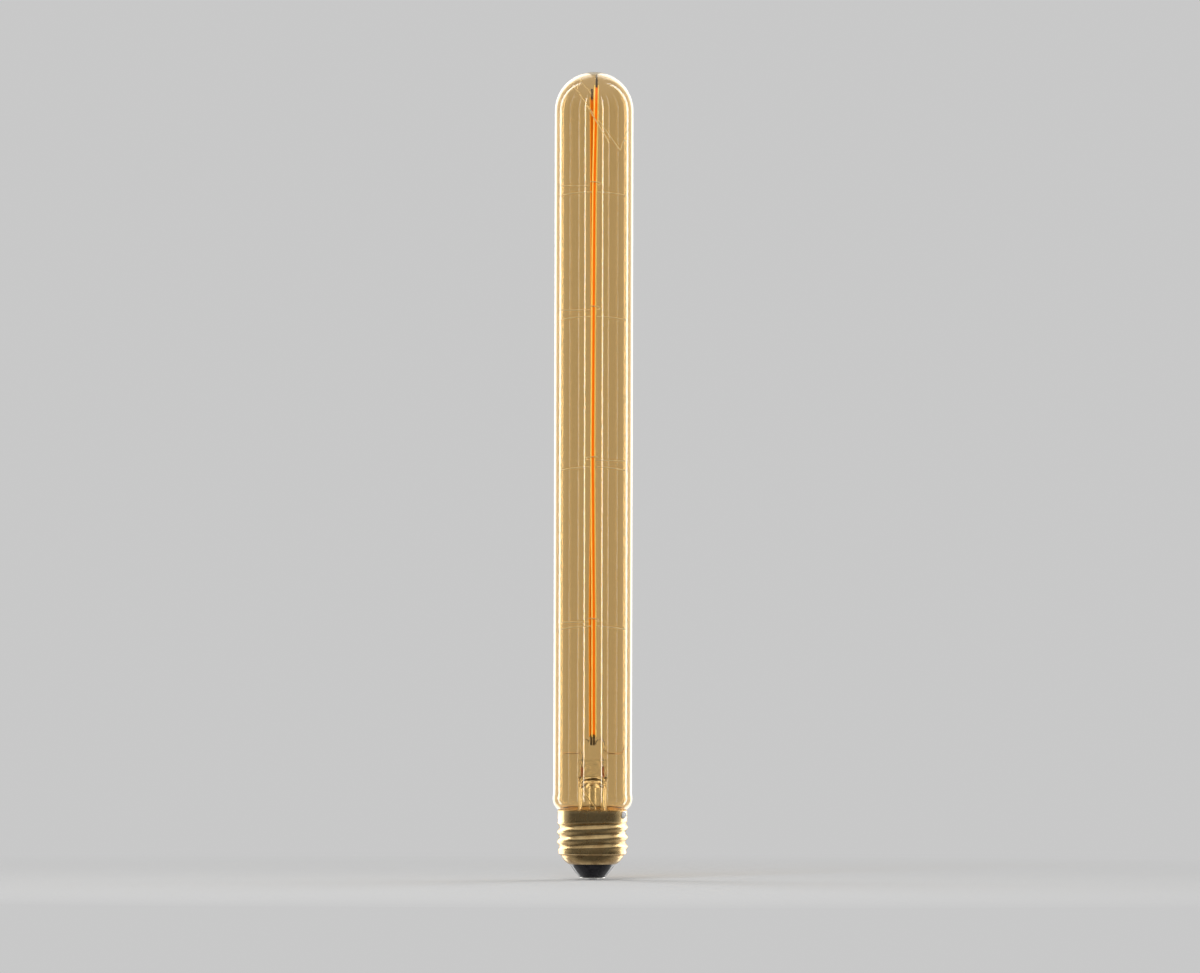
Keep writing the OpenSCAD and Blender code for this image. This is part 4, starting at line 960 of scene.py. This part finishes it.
def floor():
    """Round floor at the tip's level, pale near the lamp. It fades into the backdrop's own value further off,
    so that it has no edge. From below it is clear, and metal sees little of it."""
    sides, z = 96, -0.0001
    a, k = turns(sides), np.arange(sides)
    n = np.roll(k, -1)
    points = np.vstack([[[0, 0, z]], *(round_axis(r, a, z) for r in (0.3, 0.6, 1))])
    tris = np.stack([0 * k, 1 + k, 1 + n], -1)
    quads = np.vstack([1 + i * sides + np.stack([k, sides + k, sides + n, n], -1) for i in (0, 1)])
    mesh = bpy.data.meshes.new("floor")
    mesh.from_pydata(points.tolist(), [], tris.tolist() + quads.tolist())
    piece = bpy.data.objects.new("floor", mesh)
    bpy.context.scene.collection.objects.link(piece)
    material, tree, shader, surface = new_material("floor")
    dress(tree, shader, Base_Color=rgba(0.41, 0.41, 0.408), Roughness=0.9, Specular_IOR_Level=0.1)
    far = spread(tree, far_from_middle(tree, place(tree)), 0.0, 1.0, 0.12, 0.55)
    glow = add(tree, "Emission", Color=rgba(PALE, PALE, PALE), Strength=1.0)
    seen = blend_shader(tree, far, shader.outputs[0], glow.outputs[0])
    unseen = sums(tree, "MULTIPLY", add(tree, "LightPath").outputs["Is Glossy Ray"], 0.8)
    clear = sums(tree, "MAXIMUM", add(tree, "NewGeometry").outputs["Backfacing"], unseen)
    feed(tree, surface, blend_shader(tree, clear, seen, add(tree, "BsdfTransparent").outputs[0]))
    mesh.materials.append(material)


def band(tree, turn, high, centre, half, level, top):
    """Upright soft strip of light: level within half an angle of its centre, from a little below the horizon up
    to a height, with soft edges."""
    off = sums(tree, "ABSOLUTE", sums(tree, "SUBTRACT", turn, math.radians(centre)))
    edge = math.radians(half)
    across = spread(tree, off, level, 0.0, edge * 0.9, edge * 1.1)
    foot, head = spread(tree, high, 0.0, 1.0, -0.5, -0.4), spread(tree, high, 1.0, 0.0, top, top + 0.1)
    return sums(tree, "MULTIPLY", across, sums(tree, "MULTIPLY", foot, head))


def world():
    """Plain and pale straight from the camera and through glass. As light it is a studio: pale behind, dim in
    front, lit above, with strips at the sides. Turn is the angle from the camera's side, atan2(|x|, -y)."""
    sky = bpy.data.worlds.new("studio")
    bpy.context.scene.world = sky
    sky.use_nodes = True
    tree = sky.node_tree
    tree.nodes.clear()
    x, y, z = add(tree, "SeparateXYZ", Vector=add(tree, "TexCoord").outputs["Generated"]).outputs
    turn = sums(tree, "ARCTAN2", sums(tree, "ABSOLUTE", x), sums(tree, "MULTIPLY", y, -1.0))
    ray = add(tree, "LightPath").outputs
    sharp = ray["Is Singular Ray"]
    satin = sums(tree, "SUBTRACT", 1.0, sharp)
    strips = [sums(tree, "MULTIPLY", band(tree, turn, z, *strip), share)
              for strip, share in ((WIDE_STRIP, satin), *((strip, sharp) for strip in GLASS_STRIPS))]
    level = spread(tree, y, 0.03, PALE, -0.2, 0.5)
    for other in (spread(tree, z, 0.0, 0.6, 0.25, 0.9), *strips):
        level = sums(tree, "MAXIMUM", level, other)
    bounced = sums(tree, "ADD", ray["Glossy Depth"], ray["Diffuse Depth"])
    through = sums(tree, "MULTIPLY", ray["Is Transmission Ray"], sums(tree, "LESS_THAN", bounced, 0.5))
    plain = sums(tree, "MAXIMUM", ray["Is Camera Ray"], through)
    value = add(tree, "Mix", {"data_type": "FLOAT"})
    for socket, part in zip((value.inputs[0], value.inputs[2], value.inputs[3]), (plain, level, PALE)):
        feed(tree, socket, part)
    back = add(tree, "Background", Color=rgba(1, 1, 1), Strength=value.outputs[0])
    add(tree, "OutputWorld", Surface=back.outputs[0])


def key_light():
    """Large square light at the front left, aimed at the lamp. Only matt surfaces see it. Its power is radiance
    times pi times its area."""
    side, radiance = 1.1, 10.5
    at, aim = np.array([-0.4, -1.7, 1.1]), np.array([0, 0, 0.15])
    light = bpy.data.lights.new("key", "AREA")
    light.shape = "RECTANGLE"
    light.size = light.size_y = side
    light.energy = radiance * math.pi * side * side
    holder = bpy.data.objects.new("key", light)
    bpy.context.scene.collection.objects.link(holder)
    holder.rotation_euler = Vector(aim - at).to_track_quat("-Z", "Y").to_euler()
    holder.location = at
    holder.visible_camera = holder.visible_transmission = holder.visible_glossy = False


def camera():
    """Level camera far in front, a little right of the axis, turned by the photo's slight lean."""
    lens = bpy.data.cameras.new("camera")
    lens.sensor_width = 36.0
    lens.lens = 646.0
    holder = bpy.data.objects.new("camera", lens)
    bpy.context.scene.collection.objects.link(holder)
    holder.location = (0.0025, -8.0, 0.14596)
    holder.rotation_euler = (math.pi / 2, -0.00236, 0)
    bpy.context.scene.camera = holder


for make in (bulb, stem, exhaust, shell, insulator, contact, tip_drop, side_drop, filaments, wires, welds,
             cad_finishes, floor, world, key_light, camera):
    make()
bpy.context.scene.view_settings.view_transform = "Standard"
